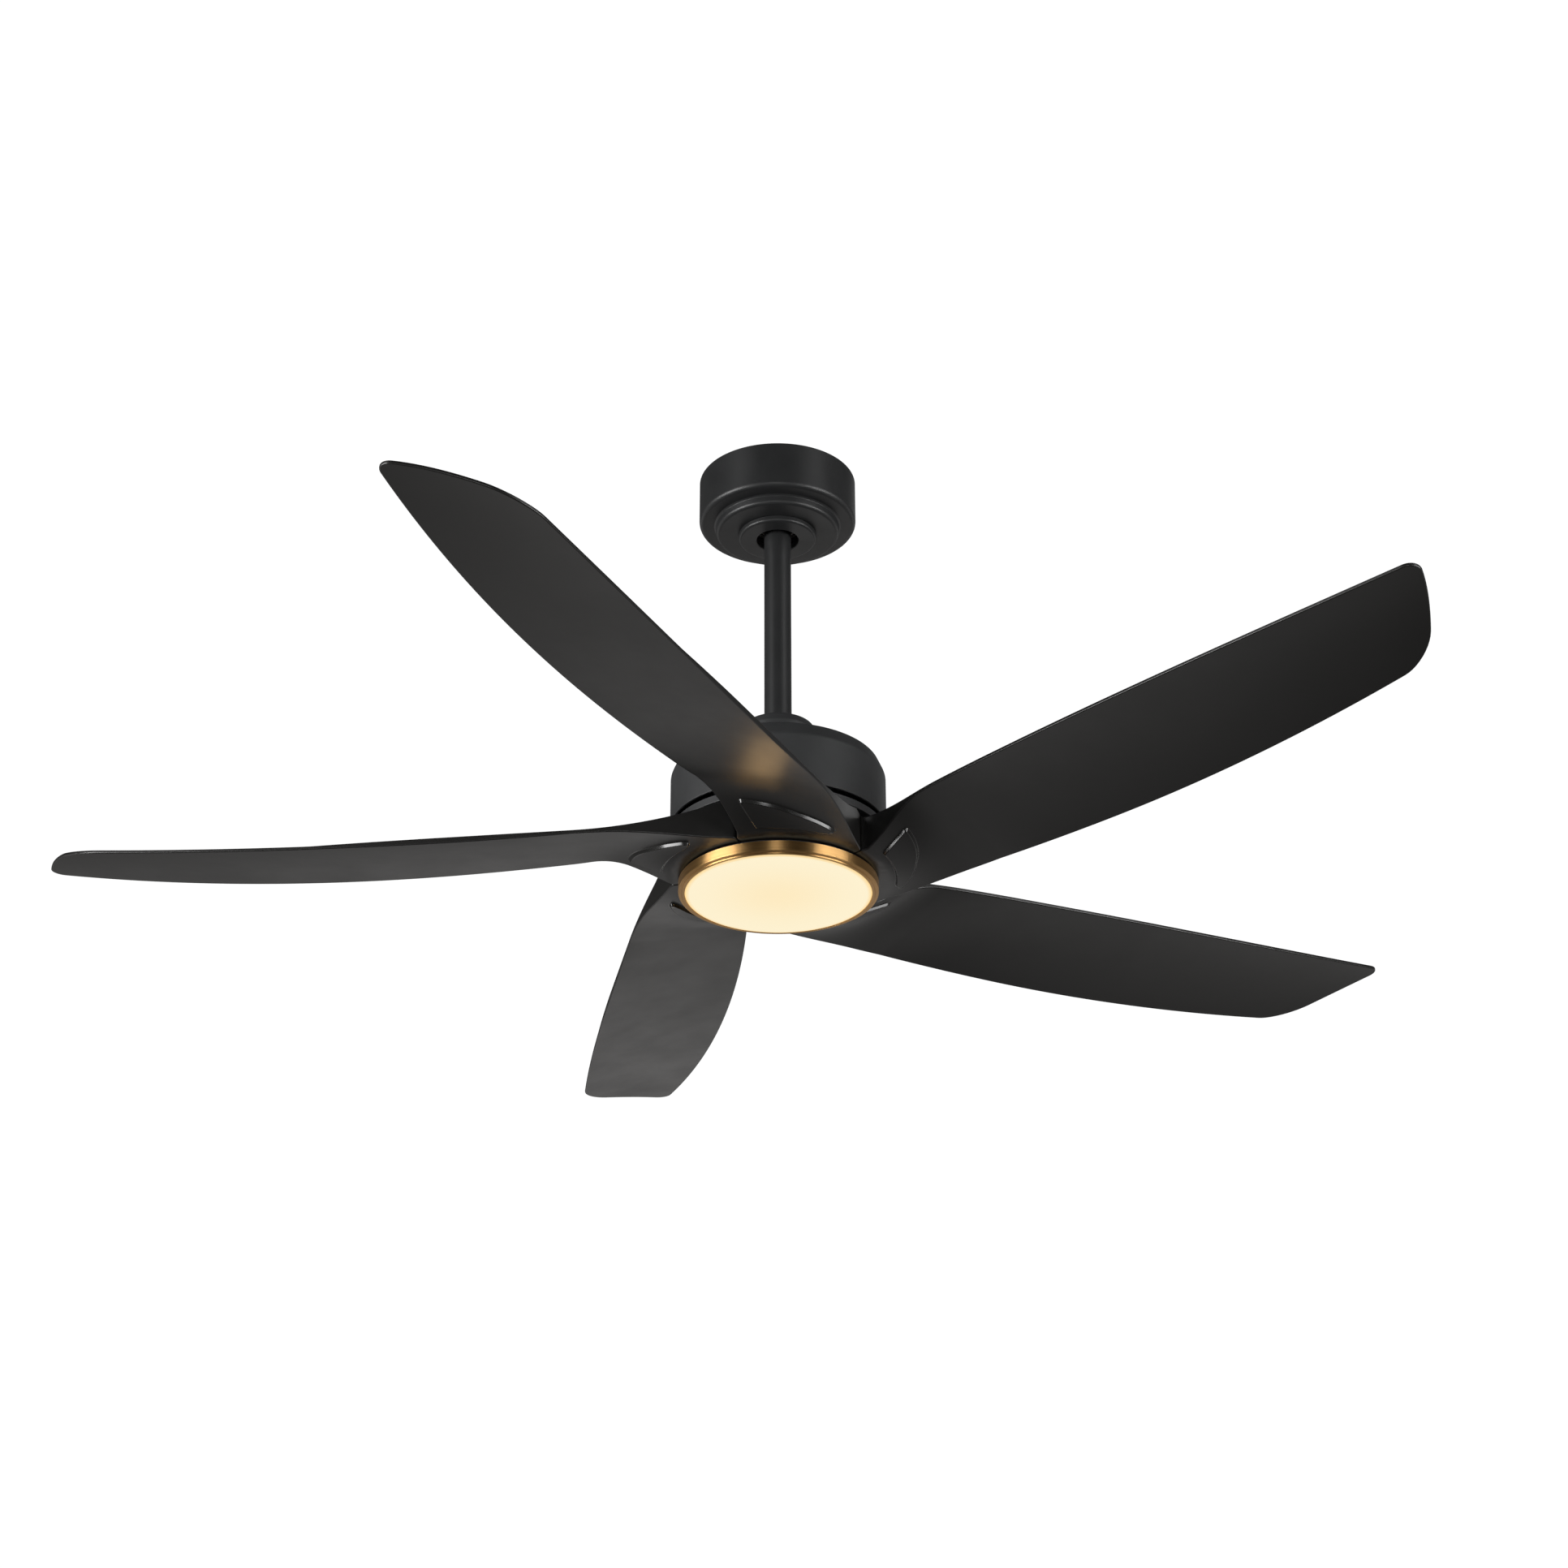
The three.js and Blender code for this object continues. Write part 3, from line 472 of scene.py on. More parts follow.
def lathe(name, corners, body, material, sides=160):
    """A turned piece about the fan's axis from a closed outline in mm."""
    points = rounded(corners)
    count = len(points)
    axis = [p[0] < 1e-6 for p in points]
    verts, first = [], []
    turns = [2 * math.pi * s / sides for s in range(sides)]
    for (r, z, _, _), on_axis in zip(points, axis):
        first.append(len(verts))
        if on_axis:
            verts.append((0.0, 0.0, z))
        else:
            verts.extend((r * math.cos(t), r * math.sin(t), z) for t in turns)
    faces, loops = [], []

    def around(normal, turn):
        return (normal[0] * math.cos(turn), normal[0] * math.sin(turn), normal[1])

    for k in range(count):
        n = (k + 1) % count
        if axis[k] and axis[n]:
            continue
        low_normal, high_normal = points[k][3], points[n][2]
        for s in range(sides):
            e = (s + 1) % sides
            a, b = turns[s], turns[e]
            if axis[k]:
                faces.append((first[k], first[n] + e, first[n] + s))
                loops += [around(low_normal, a), around(high_normal, b), around(high_normal, a)]
            elif axis[n]:
                faces.append((first[k] + s, first[k] + e, first[n]))
                loops += [around(low_normal, a), around(low_normal, b), around(high_normal, a)]
            else:
                faces.append((first[k] + s, first[k] + e, first[n] + e, first[n] + s))
                loops += [around(low_normal, a), around(low_normal, b),
                          around(high_normal, b), around(high_normal, a)]
    return new_piece(name, verts, faces, body, [material], loops=loops)


def stand_in(node):
    """The piece takes the place of a CAD node, which is hidden."""
    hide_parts(node)


# ---------------------------------------------------------------- turned pieces
# Each outline's corners are (radius, height, rounding) in mm.

canopy = lathe("canopy_skin", [
    (72.7, -0.5, 0.6), (72.7, -46, 4.6), (59.0, -46.4, 1.2), (57.4, -47.6, 0.8), (56.9, -55.4, 3.6),
    (24, -55.4, 0), (24, -54, 0), (53, -54, 1), (54.5, -46, 1), (66, -44.6, 4), (71.3, -40, 1),
    (71.3, -0.5, 0),
], "root", PAINT)
stand_in("canopy")

cover_ring = lathe("cover_ring", [
    (19.4, -61.2, 0.9), (36, -61.2, 2.4), (36, -55.7, 0.3), (34.4, -55.7, 0), (34.4, -59.6, 0.4),
    (21, -59.6, 0.4), (21, -55.7, 0), (19.4, -55.7, 0.3),
], "root", PAINT)
stand_in("canopy_cover_ring")

BALL_Z, BALL_R = -31.0, 23.0
ROD_R, ROD_BORE, ROD_LOW, ROD_HIGH = 12.4, 10.7, -286, -14
# the ball's hole is a little wider than the rod, and its outline runs between the hole's two ends
BALL_HOLE, BALL_END, BALL_STEPS = 12.7, 57, 24
BALL_HOLE_REACH = 19.17
ball_outline = []
for step in range(BALL_STEPS + 1):
    angle = math.radians(-BALL_END + 2 * BALL_END * step / BALL_STEPS)
    ball_outline.append((BALL_R * math.cos(angle), BALL_Z + BALL_R * math.sin(angle)))
ball_outline += [(BALL_HOLE, BALL_Z + BALL_HOLE_REACH), (BALL_HOLE, BALL_Z - BALL_HOLE_REACH)]
ball = lathe("hanging_ball", ball_outline, "hanging_unit", PAINT, 96)
stand_in("hanger_ball")

rod = lathe("rod_tube", [
    (ROD_BORE, ROD_LOW, 0), (ROD_R, ROD_LOW, 0.4), (ROD_R, ROD_HIGH, 0.5), (ROD_BORE, ROD_HIGH, 0.4),
], "hanging_unit", PAINT, 72)
stand_in("downrod")

coupling = lathe("coupling_cup", [
    (12.9, -260, 0), (32.2, -264.5, 1.5), (33.3, -295.4, 0), (35.3, -295.4, 0.5), (35.3, -266, 5),
    (31.6, -257.8, 4.5), (12.9, -257.6, 0.8),
], "coupling_cover_cup", CAST_PAINT)
stand_in("coupling_cover")

housing = lathe("motor_can", [
    (34, -296, 0), (86.6, -298.4, 0.25), (86.6, -299.0, 0), (87.3, -299.0, 0), (87.3, -298.5, 0.25),
    (90.3, -299, 3.4), (96, -312, 9), (96, -359.5, 0.7), (94, -359.5, 0.3), (94, -312, 5), (88, -302, 3),
    (34, -298, 0), (8.3, -298, 0), (8.3, -296, 0),
], "hanging_unit", CAST_PAINT, 200)
stand_in("motor_housing")

rim = lathe("rotor_rim", [
    (16.3, -375.7, 0), (82, -375.7, 0.4), (84, -371.3, 0.8), (95.5, -371.2, 0.7), (95.5, -364, 0.7),
    (16.3, -364, 0),
], "rotor", CAST_PAINT, 200)
stand_in("rotor_flange")

pan = lathe("lamp_pan", [
    (0, -407.2, 0), (75.8, -407.2, 1), (75.8, -412.2, 0.5), (86.4, -412.2, 0.3), (86.4, -411, 0.3),
    (77, -411, 0.6), (77, -406, 1), (0, -406, 0),
], "hanging_unit", PAINT)
stand_in("light_pan")

ring = lathe("lamp_ring", [
    (82.3, -423.3, 0.3), (84.5, -423.3, 0.5), (85.1, -422.2, 0.2), (86.6, -422.2, 0.2), (88.2, -421.6, 0.6),
    (88.2, -412.5, 0.35), (86.6, -412.5, 0.3), (86.6, -421.3, 0.3), (82.5, -421.3, 0.2),
], "light_cover", BRASS, 240)
stand_in("brass_ring")

lens = lathe("lamp_lens", [
    (0, -423.9, 0), (80.6, -423.7, 1.1), (82.0, -422.8, 0.3), (82.4, -421, 0), (86.3, -421, 0.2),
    (86.3, -419.5, 0.2), (80.4, -419.5, 0.4), (80.4, -421.8, 0), (0, -421.8, 0),
], "light_cover", OPAL, 240)
stand_in("diffuser")

yoke = lathe("rod_yoke", [
    (8.3, -295.6, 0), (30, -295.6, 0.5), (30, -291.6, 0.8), (19, -291.6, 1.5), (19, -263, 1.0),
    (12.9, -263, 0.3), (12.9, -286.3, 0), (8.3, -286.3, 0),
], "hanging_unit", STEEL, 72)
stand_in("motor_yoke")

# ---------------------------------------------------------------- blades
# r runs along the blade's long axis, w across it towards the leading edge, in mm. z is the fan's own.
# Heights named low are the blade's underside, and heights named high its upper side.

BLADES = 5
FIRST_ROOT = 139.42
# the blade's long axis trails the middle of its root by this angle
BLADE_LEAD = 28.54
# half of a root's share of the hub, less half of the gap to its neighbour
LAG = 36 - 0.3
ROOT_R, ROOT_LOW, ROOT_HIGH = 94.0, -410.0, -376.0
ROOT_BORE, LIGHT_BORE, PLATE_LOW = 45.0, 80.5, -385.0
THICK = 3.2
# sections bow round the hub at the root, and are straight and square to the axis from here out
SETTLED = 200.0
ROOT_LEAD = ROOT_R * math.cos(math.radians(BLADE_LEAD - LAG))
ROOT_TRAIL = ROOT_R * math.cos(math.radians(BLADE_LEAD + LAG))
SAGITTA = ROOT_R * (1 - math.cos(math.radians(LAG)))
CAMBER, CAMBER_FROM, CAMBER_OVER = 3.0, 150, 100
BISECTIONS = 26

# plan: the trailing edge runs straight, bends into a slope and curls near the tip
TRAIL_ROOT_W, TRAIL_BEND_FROM, TRAIL_SLOPE = -85.2, 95.0, 0.18
TRAIL_CURL_FROM, TRAIL_CURL = 300, 1.6e-4
# plan: the leading edge eases from the hub to its widest slope and then arcs back
EDGES_FROM = 182.0
LEAD_ROOT_W, LEAD_ROOT_SLOPE = 9.5, 0.05
LEAD_W, LEAD_SLOPE, LEAD_ARC = 37, 0.3105, 2.75e-4
# plan: the tip's line across the blade and its two corners
TIP_R, TIP_W, TIP_SLOPE, TIP_CURVE = 612.0, 9.0, 0.69, 0.0025
TIP_CHORD_R, TIP_CORNER_R = 640.0, 620.0
LEAD_ROUND, TRAIL_ROUND = 14.0, 24.0

# underside at the trailing edge: up from the hub's rim, then a long shallow sag
TRAIL_LOW, TRAIL_DROP, TRAIL_RAMP_FROM, TRAIL_RAMP_OVER = -404.9, 5.1, 45, 110
SAG_LOW, SAG_R, SAG_CURVE = -407.1, 291, 1.8e-4
# underside at the leading edge: up a straight ramp, over a bend, then a rise towards the tip
LEAD_LOW, LEAD_BEND_TO, LEAD_BEND = -380.4, 165, 0.008
LEAD_RAMP_TO, LEAD_RAMP_LOW, LEAD_RAMP = 128, -391.35, 0.59
RISE_HEIGHT, RISE_OVER, RISE_POWER = 13.4, 399, 2.54
# upper side at both edges, where it isn't simply a blade's thickness above the underside
TRAIL_HIGH, TRAIL_HIGH_CURVE = -401.4, 1.58e-3
LEAD_HIGH = -377.0


def ease(x):
    t = np.clip(x, 0.0, 1.0)
    return t * t * (3 - 2 * t)


def soft_max(a, b, width):
    return 0.5 * (a + b + np.sqrt((a - b) ** 2 + width * width))


def trailing_w(r):
    r = np.asarray(r, float)
    over = EDGES_FROM - TRAIL_BEND_FROM
    bend = TRAIL_SLOPE / (2 * over)
    end = TRAIL_ROOT_W + bend * over ** 2
    near = TRAIL_ROOT_W + bend * np.maximum(r - TRAIL_BEND_FROM, 0) ** 2
    far = end + TRAIL_SLOPE * (r - EDGES_FROM) + TRAIL_CURL * np.maximum(r - TRAIL_CURL_FROM, 0) ** 2
    return np.where(r < EDGES_FROM, near, far)


def leading_w(r):
    r = np.asarray(r, float)
    far = LEAD_W + LEAD_SLOPE * (r - EDGES_FROM) - LEAD_ARC * (r - EDGES_FROM) ** 2
    over = EDGES_FROM - ROOT_R
    x = (r - ROOT_R) / over
    share = ease(x)
    bow = LEAD_ROOT_SLOPE * over * (x - 2 * x * x + x ** 3) + LEAD_SLOPE * over * (x ** 3 - x * x)
    near = LEAD_ROOT_W * (1 - share) + LEAD_W * share + bow
    return np.where(r >= EDGES_FROM, far, near)


def trailing_low(r):
    r = np.asarray(r, float)
    near = TRAIL_LOW - TRAIL_DROP * (1 - ease((r - TRAIL_RAMP_FROM) / TRAIL_RAMP_OVER))
    return np.where(r < EDGES_FROM, near, SAG_LOW + SAG_CURVE * (r - SAG_R) ** 2)


def leading_low(r):
    r = np.asarray(r, float)
    far = LEAD_LOW + RISE_HEIGHT * (np.maximum(r - EDGES_FROM, 0) / RISE_OVER) ** RISE_POWER
    bend = LEAD_LOW - LEAD_BEND * (LEAD_BEND_TO - r) ** 2
    near = soft_max(LEAD_RAMP_LOW - LEAD_RAMP * (LEAD_RAMP_TO - r), ROOT_LOW, 1.2)
    return np.where(r > LEAD_BEND_TO, far, np.where(r > LEAD_RAMP_TO, bend, near))


def trailing_high(r):
    r = np.asarray(r, float)
    rise = TRAIL_HIGH + TRAIL_HIGH_CURVE * np.maximum(EDGES_FROM - r, 0) ** 2
    return np.minimum(ROOT_HIGH, np.maximum(trailing_low(r) + THICK, rise))


def leading_high(r):
    return np.maximum(LEAD_HIGH, leading_low(r) + THICK)


def station(r, w):
    """The section through points (r, w): its reach at the trailing and leading edge, and the share across."""
    r, w = np.asarray(r, float), np.asarray(w, float)
    low = np.full(r.shape, ROOT_LEAD)
    high = np.full(r.shape, SETTLED)
    for _ in range(BISECTIONS):
        lead = (low + high) / 2
        x, y, bulge = along_chord(lead, r, w)
        beyond = y > bulge * 4 * x * (1 - x)
        low = np.where(beyond, lead, low)
        high = np.where(beyond, high, lead)
    lead = (low + high) / 2
    x, _, _ = along_chord(lead, r, w)
    trail, _ = section_end(lead)
    straight = r >= SETTLED
    across = (w - trailing_w(r)) / (leading_w(r) - trailing_w(r))
    share = np.where(straight, across, np.clip(x, 0, 1))
    return np.where(straight, r, trail), np.where(straight, r, lead), share


def section_end(lead):
    """Where a section that starts at reach lead meets the trailing edge, and how unsettled it still is."""
    left = (SETTLED - lead) / (SETTLED - ROOT_LEAD)
    return lead - (ROOT_LEAD - ROOT_TRAIL) * left ** 2, left


def along_chord(lead, r, w):
    """Where points lie along a section's chord, how far off it, and how far the section bows."""
    trail, left = section_end(lead)
    tw, lw = trailing_w(trail), leading_w(lead)
    dr, dw = lead - trail, lw - tw
    size = np.hypot(dr, dw)
    x = ((r - trail) * dr + (w - tw) * dw) / size ** 2
    y = ((r - trail) * dw - (w - tw) * dr) / size
    return x, y, SAGITTA * left ** 2


def surface(r, w, trail_height, lead_height, root_height):
    """Height at points (r, w), from the heights of the section's two ends, with the camber between them."""
    trail, lead, q = station(r, w)
    z = trail_height(trail) * (1 - q) + lead_height(lead) * q
    z = z + CAMBER * 4 * q * (1 - q) * ease((np.asarray(r, float) - CAMBER_FROM) / CAMBER_OVER)
    return np.where(np.hypot(r, w) < ROOT_R, root_height, z)


def low_height(r, w):
    return surface(r, w, trailing_low, leading_low, ROOT_LOW)


def high_height(r, w):
    return surface(r, w, trailing_high, leading_high, ROOT_HIGH)


def slope_normals(height, r, w, down):
    """Unit normals (r, w, z) of a height field, pointing down or up."""
    step = 0.6
    dr = (height(r + step, w) - height(r - step, w)) / (2 * step)
    dw = (height(r, w + step) - height(r, w - step)) / (2 * step)
    sign = -1.0 if down else 1.0
    normals = np.stack([-dr * sign, -dw * sign, np.full_like(dr, sign)], 1)
    return normals / np.linalg.norm(normals, axis=1, keepdims=True)


FILLET_STEPS = 5


def fillet(points, roundings, steps=FILLET_STEPS):
    """A closed plan outline with its corners rounded. roundings is by the corner's index."""
    out = []
    count = len(points)
    for k in range(count):
        here = np.array(points[k], float)
        rounding = roundings.get(k, 0)
        if not rounding:
            out.append(here)
            continue
        before = np.array(points[k - 1], float) - here
        after = np.array(points[(k + 1) % count], float) - here
        reach_limit = 0.9 * min(np.linalg.norm(before), np.linalg.norm(after))
        before /= np.linalg.norm(before)
        after /= np.linalg.norm(after)
        half = half_angle(before, after)
        reach = min(rounding / math.tan(half), reach_limit)
        start, end = here + before * reach, here + after * reach
        for t in np.linspace(0, 1, steps + 1):
            out.append(start * (1 - t) ** 2 + here * 2 * t * (1 - t) + end * t * t)
    return np.array(out)


def polar_arc(radius, first, last, count):
    """Points (r, w) on an arc about the fan's axis. Degrees from the blade's axis, to the trailing side."""
    angles = np.radians(np.linspace(first, last, count))
    return [(radius * math.cos(a), -radius * math.sin(a)) for a in angles]


INNER_POINTS = 28
INNER_ROUND, SEAM_TRAIL_ROUND, SEAM_LEAD_ROUND = 0.6, 5.0, 4.0
# the last point of the leading edge before the hub
LEAD_END_R, LEAD_END_DIP = 98.5, 0.2


def plan_outline(inner):
    """The outline from below: the inner arc, the trailing edge, the tip and back along the leading edge."""
    trail_angle, lead_angle = BLADE_LEAD + LAG, BLADE_LEAD - LAG
    points = polar_arc(inner, lead_angle, trail_angle, INNER_POINTS)
    roundings = {0: INNER_ROUND, INNER_POINTS - 1: INNER_ROUND, INNER_POINTS: SEAM_TRAIL_ROUND}
    points += polar_arc(ROOT_R, trail_angle, trail_angle, 1)
    trail_end = tip_full(0.0) - TRAIL_ROUND - 4
    run = np.concatenate([np.arange(ROOT_TRAIL + 5, SETTLED, 5), np.arange(SETTLED, trail_end, 9)])
    points += [(r, float(trailing_w(r))) for r in run]
    points += tip_points()
    lead_end = tip_full(1.0) - LEAD_ROUND - 4
    run = np.concatenate([np.arange(lead_end, SETTLED, -9), np.arange(SETTLED, 104, -4)])
    points += [(r, float(leading_w(r))) for r in run]
    points.append((LEAD_END_R, float(leading_w(LEAD_END_R)) - LEAD_END_DIP))
    roundings[len(points)] = SEAM_LEAD_ROUND
    points += polar_arc(ROOT_R, lead_angle, lead_angle, 1)
    return fillet(points, roundings)


def tip_full(q):
    """Reach of the tip's line at a share q across the blade, before its corners are rounded."""
    w = trailing_w(TIP_CHORD_R) * (1 - q) + leading_w(TIP_CHORD_R) * q
    return float(TIP_R + TIP_SLOPE * (w - TIP_W) - TIP_CURVE * (w - TIP_W) ** 2)


def tip_points():
    """The tip from the trailing to the leading edge, close together round its corners."""
    chord = float(leading_w(TIP_CORNER_R) - trailing_w(TIP_CORNER_R))
    turns = np.linspace(0, math.pi / 2, 11)
    shares = [TRAIL_ROUND * (1 - math.cos(t)) / chord for t in turns]
    middle = np.linspace(shares[-1], 1 - LEAD_ROUND / chord, 12)[1:-1]
    shares += list(middle) + [1 - LEAD_ROUND * (1 - math.cos(t)) / chord for t in turns[::-1]]
    points = []
    for q in shares:
        full = tip_full(q)
        across = float(leading_w(full) - trailing_w(full))
        r = full - (corner_loss(q * across, TRAIL_ROUND) + corner_loss((1 - q) * across, LEAD_ROUND))
        points.append((r, float(trailing_w(r) * (1 - q) + leading_w(r) * q)))
    return points


def corner_loss(distance, rounding):
    """How far a rounded corner lies inside its square one, at a distance from the side."""
    if distance >= rounding:
        return 0.0
    return rounding - math.sqrt(max(rounding ** 2 - (rounding - distance) ** 2, 0.0))


def outward(points):
    """Unit normals of a closed plan outline, pointing out of it, and how far a corner stretches an offset."""
    ahead = np.roll(points, -1, 0) - points
    ahead /= np.linalg.norm(ahead, axis=1, keepdims=True)
    back = np.roll(ahead, 1, 0)
    area = np.sum(points[:, 0] * np.roll(points[:, 1], -1) - np.roll(points[:, 0], -1) * points[:, 1])
    side = 1.0 if area > 0 else -1.0
    normals = side * np.stack([ahead[:, 1] + back[:, 1], -(ahead[:, 0] + back[:, 0])], 1)
    normals /= np.linalg.norm(normals, axis=1, keepdims=True)
    face = side * np.stack([ahead[:, 1], -ahead[:, 0]], 1)
    stretch = 1 / np.clip(np.sum(normals * face, 1), 0.5, 1)
    return normals, stretch[:, None]


def inside(points, outline):
    """True for each of points inside the closed outline."""
    x, y = points[:, 0], points[:, 1]
    hit = np.zeros(len(points), bool)
    ax, ay = outline[:, 0], outline[:, 1]
    bx, by = np.roll(ax, -1), np.roll(ay, -1)
    for x0, y0, x1, y1 in zip(ax, ay, bx, by):
        crosses = (y0 > y) != (y1 > y)
        if y0 != y1:
            hit ^= crosses & (x < (x1 - x0) * (y - y0) / (y1 - y0) + x0)
    return hit


def distance_to(points, outline):
    """Shortest distance from each of points to the closed outline."""
    best = np.full(len(points), 1e9)
    for a, b in zip(outline, np.roll(outline, -1, 0)):
        ab = b - a
        t = np.clip(((points - a) @ ab) / max(float(ab @ ab), 1e-12), 0, 1)
        best = np.minimum(best, np.linalg.norm(points - (a + t[:, None] * ab), axis=1))
    return best


# loose points of a face, denser at the root: r from, to and step, then w from, to and step
GRIDS = [(36, 150, 3.6, -90, 30, 3.6), (150, 230, 6, -90, 70, 6), (230, 640, 12, -90, 80, 9)]


def scatter():
    """Points over the blade's box, close together round the root."""
    parts = []
    for r0, r1, dr, w0, w1, dw in GRIDS:
        r, w = np.meshgrid(np.arange(r0, r1, dr), np.arange(w0, w1, dw))
        parts.append(np.stack([r.ravel(), w.ravel()], 1))
    return np.concatenate(parts)


# the pad's leading side going inwards, its arc about the fan's axis, and its outer side coming back
PAD_LEAD = [(131.5, -0.5), (103.7, -8.6)]
PAD_ARC_R, PAD_ARC_FROM, PAD_ARC_TO, PAD_ARC_POINTS = 104.4, 6.2, 39.4, 16
PAD_OUTER = [(81.2, -71.5), (85.5, -71.2), (93.5, -66.2), (101, -60.4), (108, -53), (114, -45.5),
             (119.5, -38.5), (124, -30.5), (127.5, -21.5), (129.8, -12)]
PAD_SPACING = 2.5
PAD_RISE = 2.6
PAD_WALL_SLOPE = 2.3
# offset outwards from the pad's outline, share of its height and share of the steepest slope
PAD_RINGS = [(-1.0, 1.0, 0.0), (-0.55, 0.985, 0.3), (-0.2, 0.93, 0.95), (0.75, 0.12, 1.0),
             (1.05, 0.04, 0.5), (1.4, 0.01, 0.1), (1.9, 0.0, 0.0)]
# the edge's rounding, and how far loose points stay from the face's rim and from the pad's outline
EDGE, RIM_CLEAR, PAD_CLEAR = 1.1, 1.8, 2.8
BEVEL_STEPS = 4
# index of each face's material: the blade's faces, its walls and edges, and the pad's glossier wall
FACE, WALL, PAD = 0, 1, 2


def pad_outline():
    """The raised kidney-shaped pad: straight leading side, arc about the fan's axis, curved outer side."""
    inner = polar_arc(PAD_ARC_R, PAD_ARC_FROM, PAD_ARC_TO, PAD_ARC_POINTS)
    roundings = {0: 2.2, 1: 1.2, PAD_ARC_POINTS + 2: 2.0}
    rough = fillet(PAD_LEAD + inner + PAD_OUTER, roundings, 6)
    dense = []
    for a, b in zip(rough, np.roll(rough, -1, 0)):
        parts = max(1, int(np.linalg.norm(b - a) // PAD_SPACING))
        dense += [a + (b - a) * k / parts for k in range(parts)]
    dense = np.array(dense)
    for _ in range(2):
        dense = 0.25 * np.roll(dense, 1, 0) + 0.5 * dense + 0.25 * np.roll(dense, -1, 0)
    return dense


def triangulated(loops, extra):
    """Triangles over closed loops and loose points: the points, the input index of each, the triangles."""
    edges, base = [], 0
    for loop in loops:
        size = len(loop)
        edges += [(base + k, base + (k + 1) % size) for k in range(size)]
        base += size
    everything = np.concatenate(loops + [extra])
    made = delaunay_2d_cdt([Vector(p) for p in everything], edges, [], 1, 1e-5)
    flat = np.array([v[:] for v in made[0]])
    source = [ids[0] if ids else -1 for ids in made[3]]
    return flat, source, [tuple(f) for f in made[2]]


def face_rim(outline):
    """The face's own rim, an edge's rounding inside the blade's outline, and loose points clear of it."""
    normals, stretch = outward(outline)
    rim = outline - normals * stretch * EDGE
    extra = scatter()
    extra = extra[inside(extra, rim)]
    return rim, extra[distance_to(extra, rim) > RIM_CLEAR]


def rim_vertices(source, size):
    """The vertex that each of the rim's points became."""
    ids = [-1] * size
    for vertex, origin in enumerate(source):
        if 0 <= origin < size:
            ids[origin] = vertex
    return ids


def lower_face(outline):
    """Points, heights, normals, triangles, their kinds and the rim of the underside with its raised pad."""
    rim, extra = face_rim(outline)
    pad = pad_outline()
    pad_normals, _ = outward(pad)
    rings = [pad + pad_normals * offset for offset, _, _ in PAD_RINGS]
    extra = extra[distance_to(extra, pad) > PAD_CLEAR]
    in_pad = inside(extra, pad)
    flat, source, tris = triangulated([rim] + rings, extra)
    z = low_height(flat[:, 0], flat[:, 1])
    n = slope_normals(low_height, flat[:, 0], flat[:, 1], True)
    size, first = len(pad), len(rim)
    ring_end = first + size * len(rings)
    rise = np.zeros(len(flat))
    on_wall = set()
    for vertex, origin in enumerate(source):
        if first <= origin < ring_end:
            ring, spot = divmod(origin - first, size)
            _, share, steep = PAD_RINGS[ring]
            rise[vertex] = PAD_RISE * share
            n[vertex, :2] += pad_normals[spot] * steep * PAD_WALL_SLOPE * abs(n[vertex, 2])
            on_wall.add(vertex)
        elif origin >= ring_end and in_pad[origin - ring_end]:
            rise[vertex] = PAD_RISE
    n /= np.linalg.norm(n, axis=1, keepdims=True)
    kinds = [PAD if all(v in on_wall for v in tri) else FACE for tri in tris]
    return flat, z - rise, n, tris, kinds, rim_vertices(source, first)


def upper_face(outline):
    """Points, heights, normals, triangles, their kinds and the rim of the plain upper side."""
    rim, extra = face_rim(outline)
    flat, source, tris = triangulated([rim], extra)
    z = high_height(flat[:, 0], flat[:, 1])
    n = slope_normals(high_height, flat[:, 0], flat[:, 1], False)
    return flat, z, n, tris, [FACE] * len(tris), rim_vertices(source, len(rim))


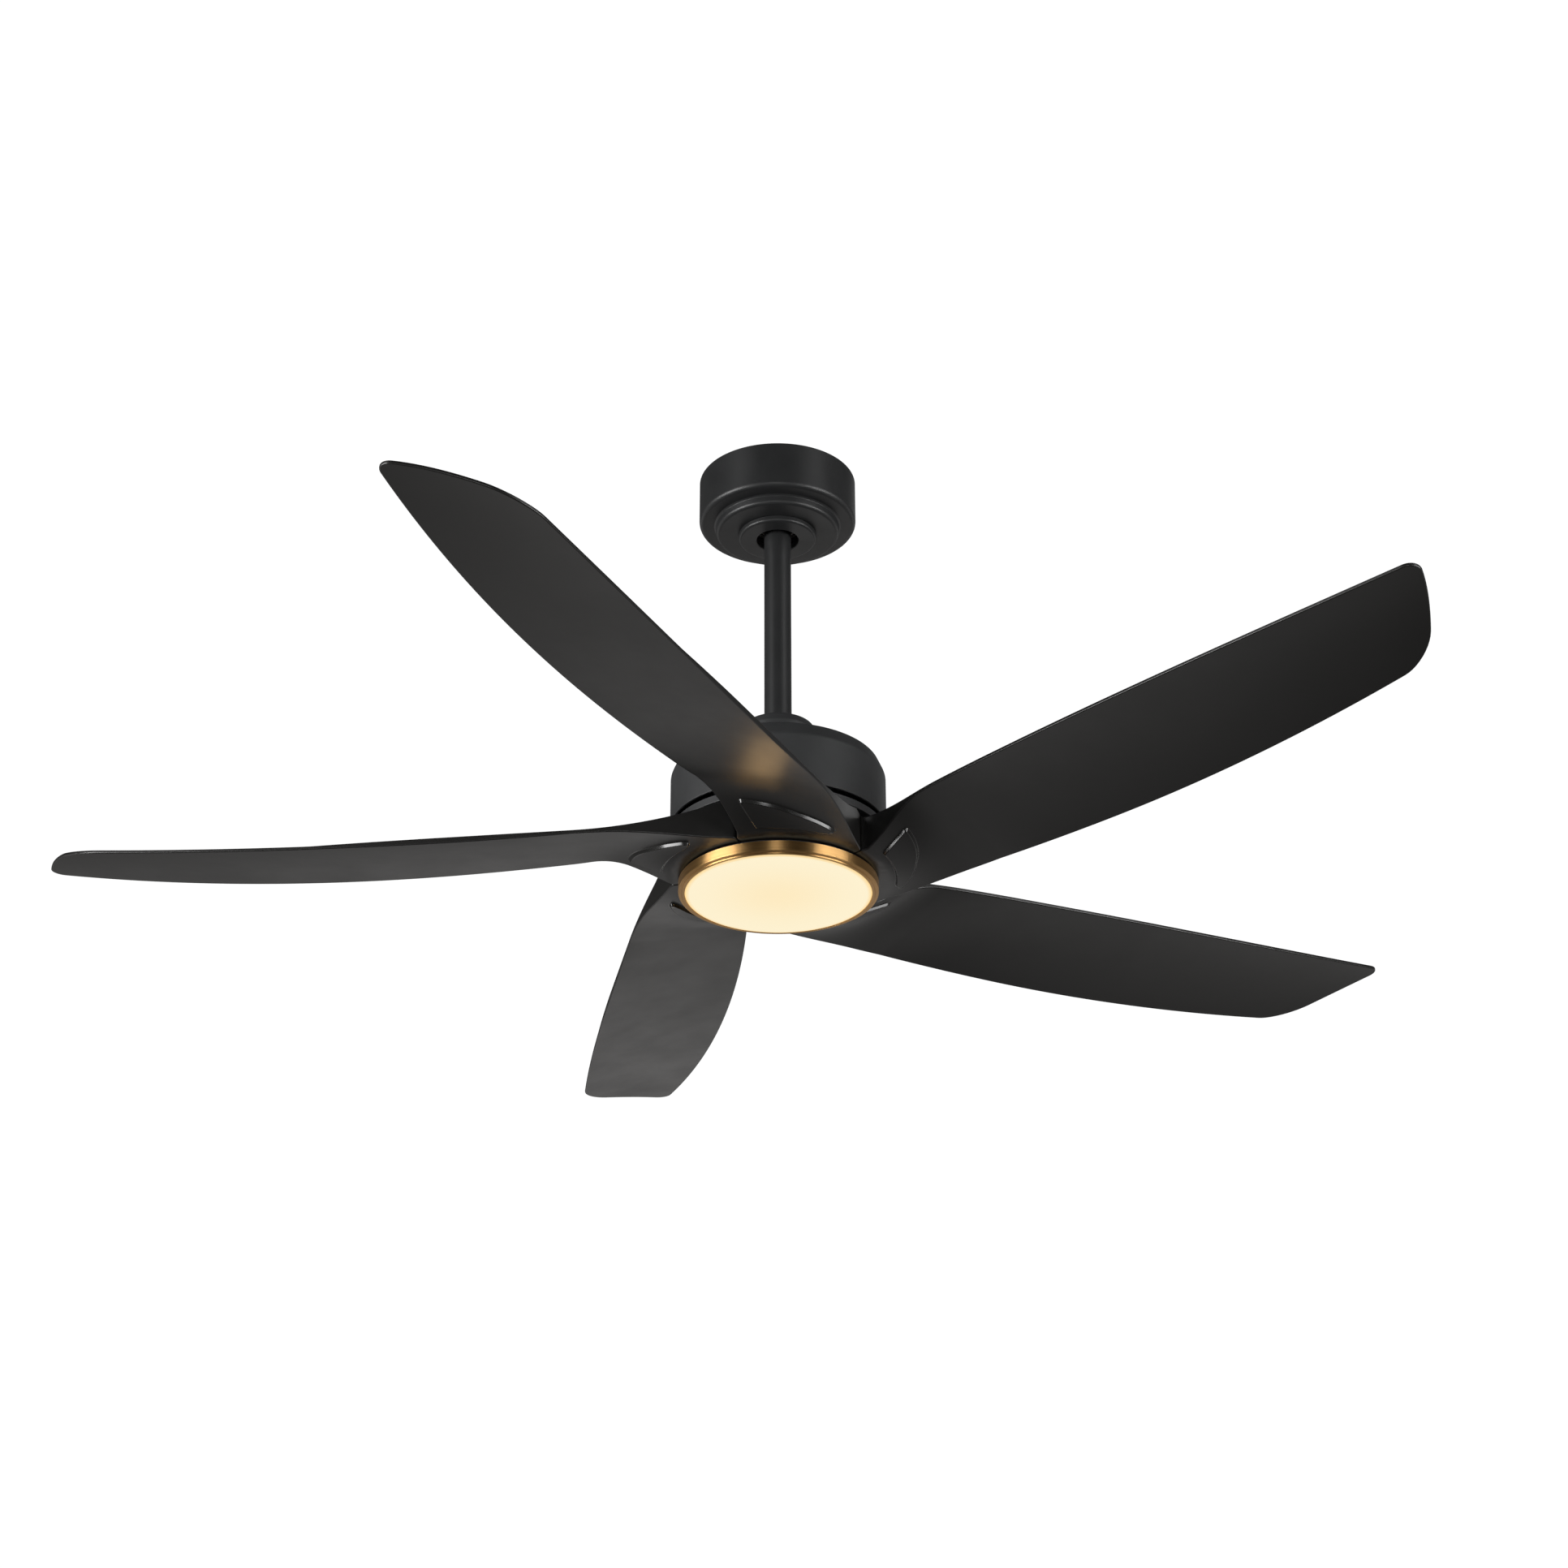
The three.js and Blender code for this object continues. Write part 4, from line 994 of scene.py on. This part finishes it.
class Shell:
    """A blade's mesh as it grows: vertices and normals in (r, w, z), faces, and each face's material."""

    def __init__(self):
        self.verts, self.normals, self.faces, self.kinds = [], [], [], []

    def ring(self, flat, z, n):
        """New vertices, returned as their indices."""
        base = len(self.verts)
        self.verts.extend(zip(flat[:, 0], flat[:, 1], z))
        self.normals.extend(n)
        return list(range(base, base + len(flat)))

    def wall_ring(self, flat, z, side, up=0.0):
        """New vertices whose normals point sideways, or up or down where side is nothing."""
        return self.ring(flat, z, np.column_stack([side, np.full(len(side), up)]))

    def strip(self, a, b, quads):
        """Wall quads between two rings, one for each index in quads."""
        for k in quads:
            e = (k + 1) % len(a)
            self.faces.append((a[k], a[e], b[e], b[k]))
            self.kinds.append(WALL)

    def face(self, outline, make_face, sign):
        """One face and the rings that roll it over to the wall; returns the wall's heights and directions."""
        flat, z, n, tris, kinds, rim = make_face(outline)
        ids = self.ring(flat, z, n)
        self.faces.extend(tuple(ids[v] for v in tri) for tri in tris)
        self.kinds.extend(kinds)
        rim_z, rim_n = z[rim], n[rim]
        side, stretch = outward(outline)
        last = [ids[v] for v in rim]
        for k in range(1, BEVEL_STEPS + 1):
            a = math.pi / 2 * k / BEVEL_STEPS
            flat = outline - side * stretch * EDGE * (1 - math.sin(a))
            z = rim_z - sign * EDGE * (1 - math.cos(a))
            n = rim_n * math.cos(a)
            n[:, :2] += side * math.sin(a)
            n /= np.linalg.norm(n, axis=1, keepdims=True)
            ids = self.ring(flat, z, n)
            self.strip(last, ids, range(len(ids)))
            last = ids
        return z, side

    def finished(self):
        """Points, outward faces, normals and kinds, in the right-handed frame (r, -w, z)."""
        points, normals = np.array(self.verts), np.array(self.normals)
        normals /= np.maximum(np.linalg.norm(normals, axis=1, keepdims=True), 1e-9)
        points[:, 1] *= -1
        normals[:, 1] *= -1
        turned = []
        for face in self.faces:
            a, b, c = points[face[0]], points[face[1]], points[face[2]]
            across = np.cross(b - a, c - a)
            if len(face) == 4:
                across = np.cross(c - a, points[face[3]] - b)
            aim = normals[list(face)].sum(0)
            turned.append(face if float(across @ aim) > 0 else face[::-1])
        return points, turned, normals, self.kinds


def blade_mesh():
    """One blade: its two faces with rolled edges, the wall between them and the step round the light."""
    low_line, high_line = plan_outline(LIGHT_BORE), plan_outline(ROOT_BORE)
    size = len(low_line)
    shell = Shell()
    low_z, low_side = shell.face(low_line, lower_face, -1)
    high_z, high_side = shell.face(high_line, upper_face, 1)

    # the two outlines match but for the inner arc, where the wall steps in under the root's plate
    arc = INNER_POINTS + 2 * FILLET_STEPS
    wall_low = shell.wall_ring(low_line, low_z, low_side)
    wall_high = shell.wall_ring(low_line, high_z, low_side)
    shell.strip(wall_low, wall_high, range(arc - 1, size))
    plate = np.full(size, PLATE_LOW)
    flat_side = np.zeros((size, 2))
    step_low = shell.wall_ring(low_line, low_z, low_side)
    step_high = shell.wall_ring(low_line, plate, low_side)
    under_out = shell.wall_ring(low_line, plate, flat_side, -1.0)
    under_in = shell.wall_ring(high_line, plate, flat_side, -1.0)
    bore_low = shell.wall_ring(high_line, plate, high_side)
    bore_high = shell.wall_ring(high_line, high_z, high_side)
    for a, b in ((step_low, step_high), (under_out, under_in), (bore_low, bore_high)):
        shell.strip(a, b, range(arc - 1))
    return shell.finished()


blade_points, blade_faces, blade_normals, blade_kinds = blade_mesh()
for number in range(BLADES):
    turn = math.radians(FIRST_ROOT - BLADE_LEAD + 360 / BLADES * number)
    spin = np.array([[math.cos(turn), -math.sin(turn), 0], [math.sin(turn), math.cos(turn), 0], [0, 0, 1]])
    blade = new_piece(f"blade_skin_{number + 1}", blade_points @ spin.T, blade_faces, "rotor",
                      [BLADE_FACE, BLADE_WALL, PAD_WALL], normals=blade_normals @ spin.T, which=blade_kinds)
    stand_in(f"blade_{number + 1}")
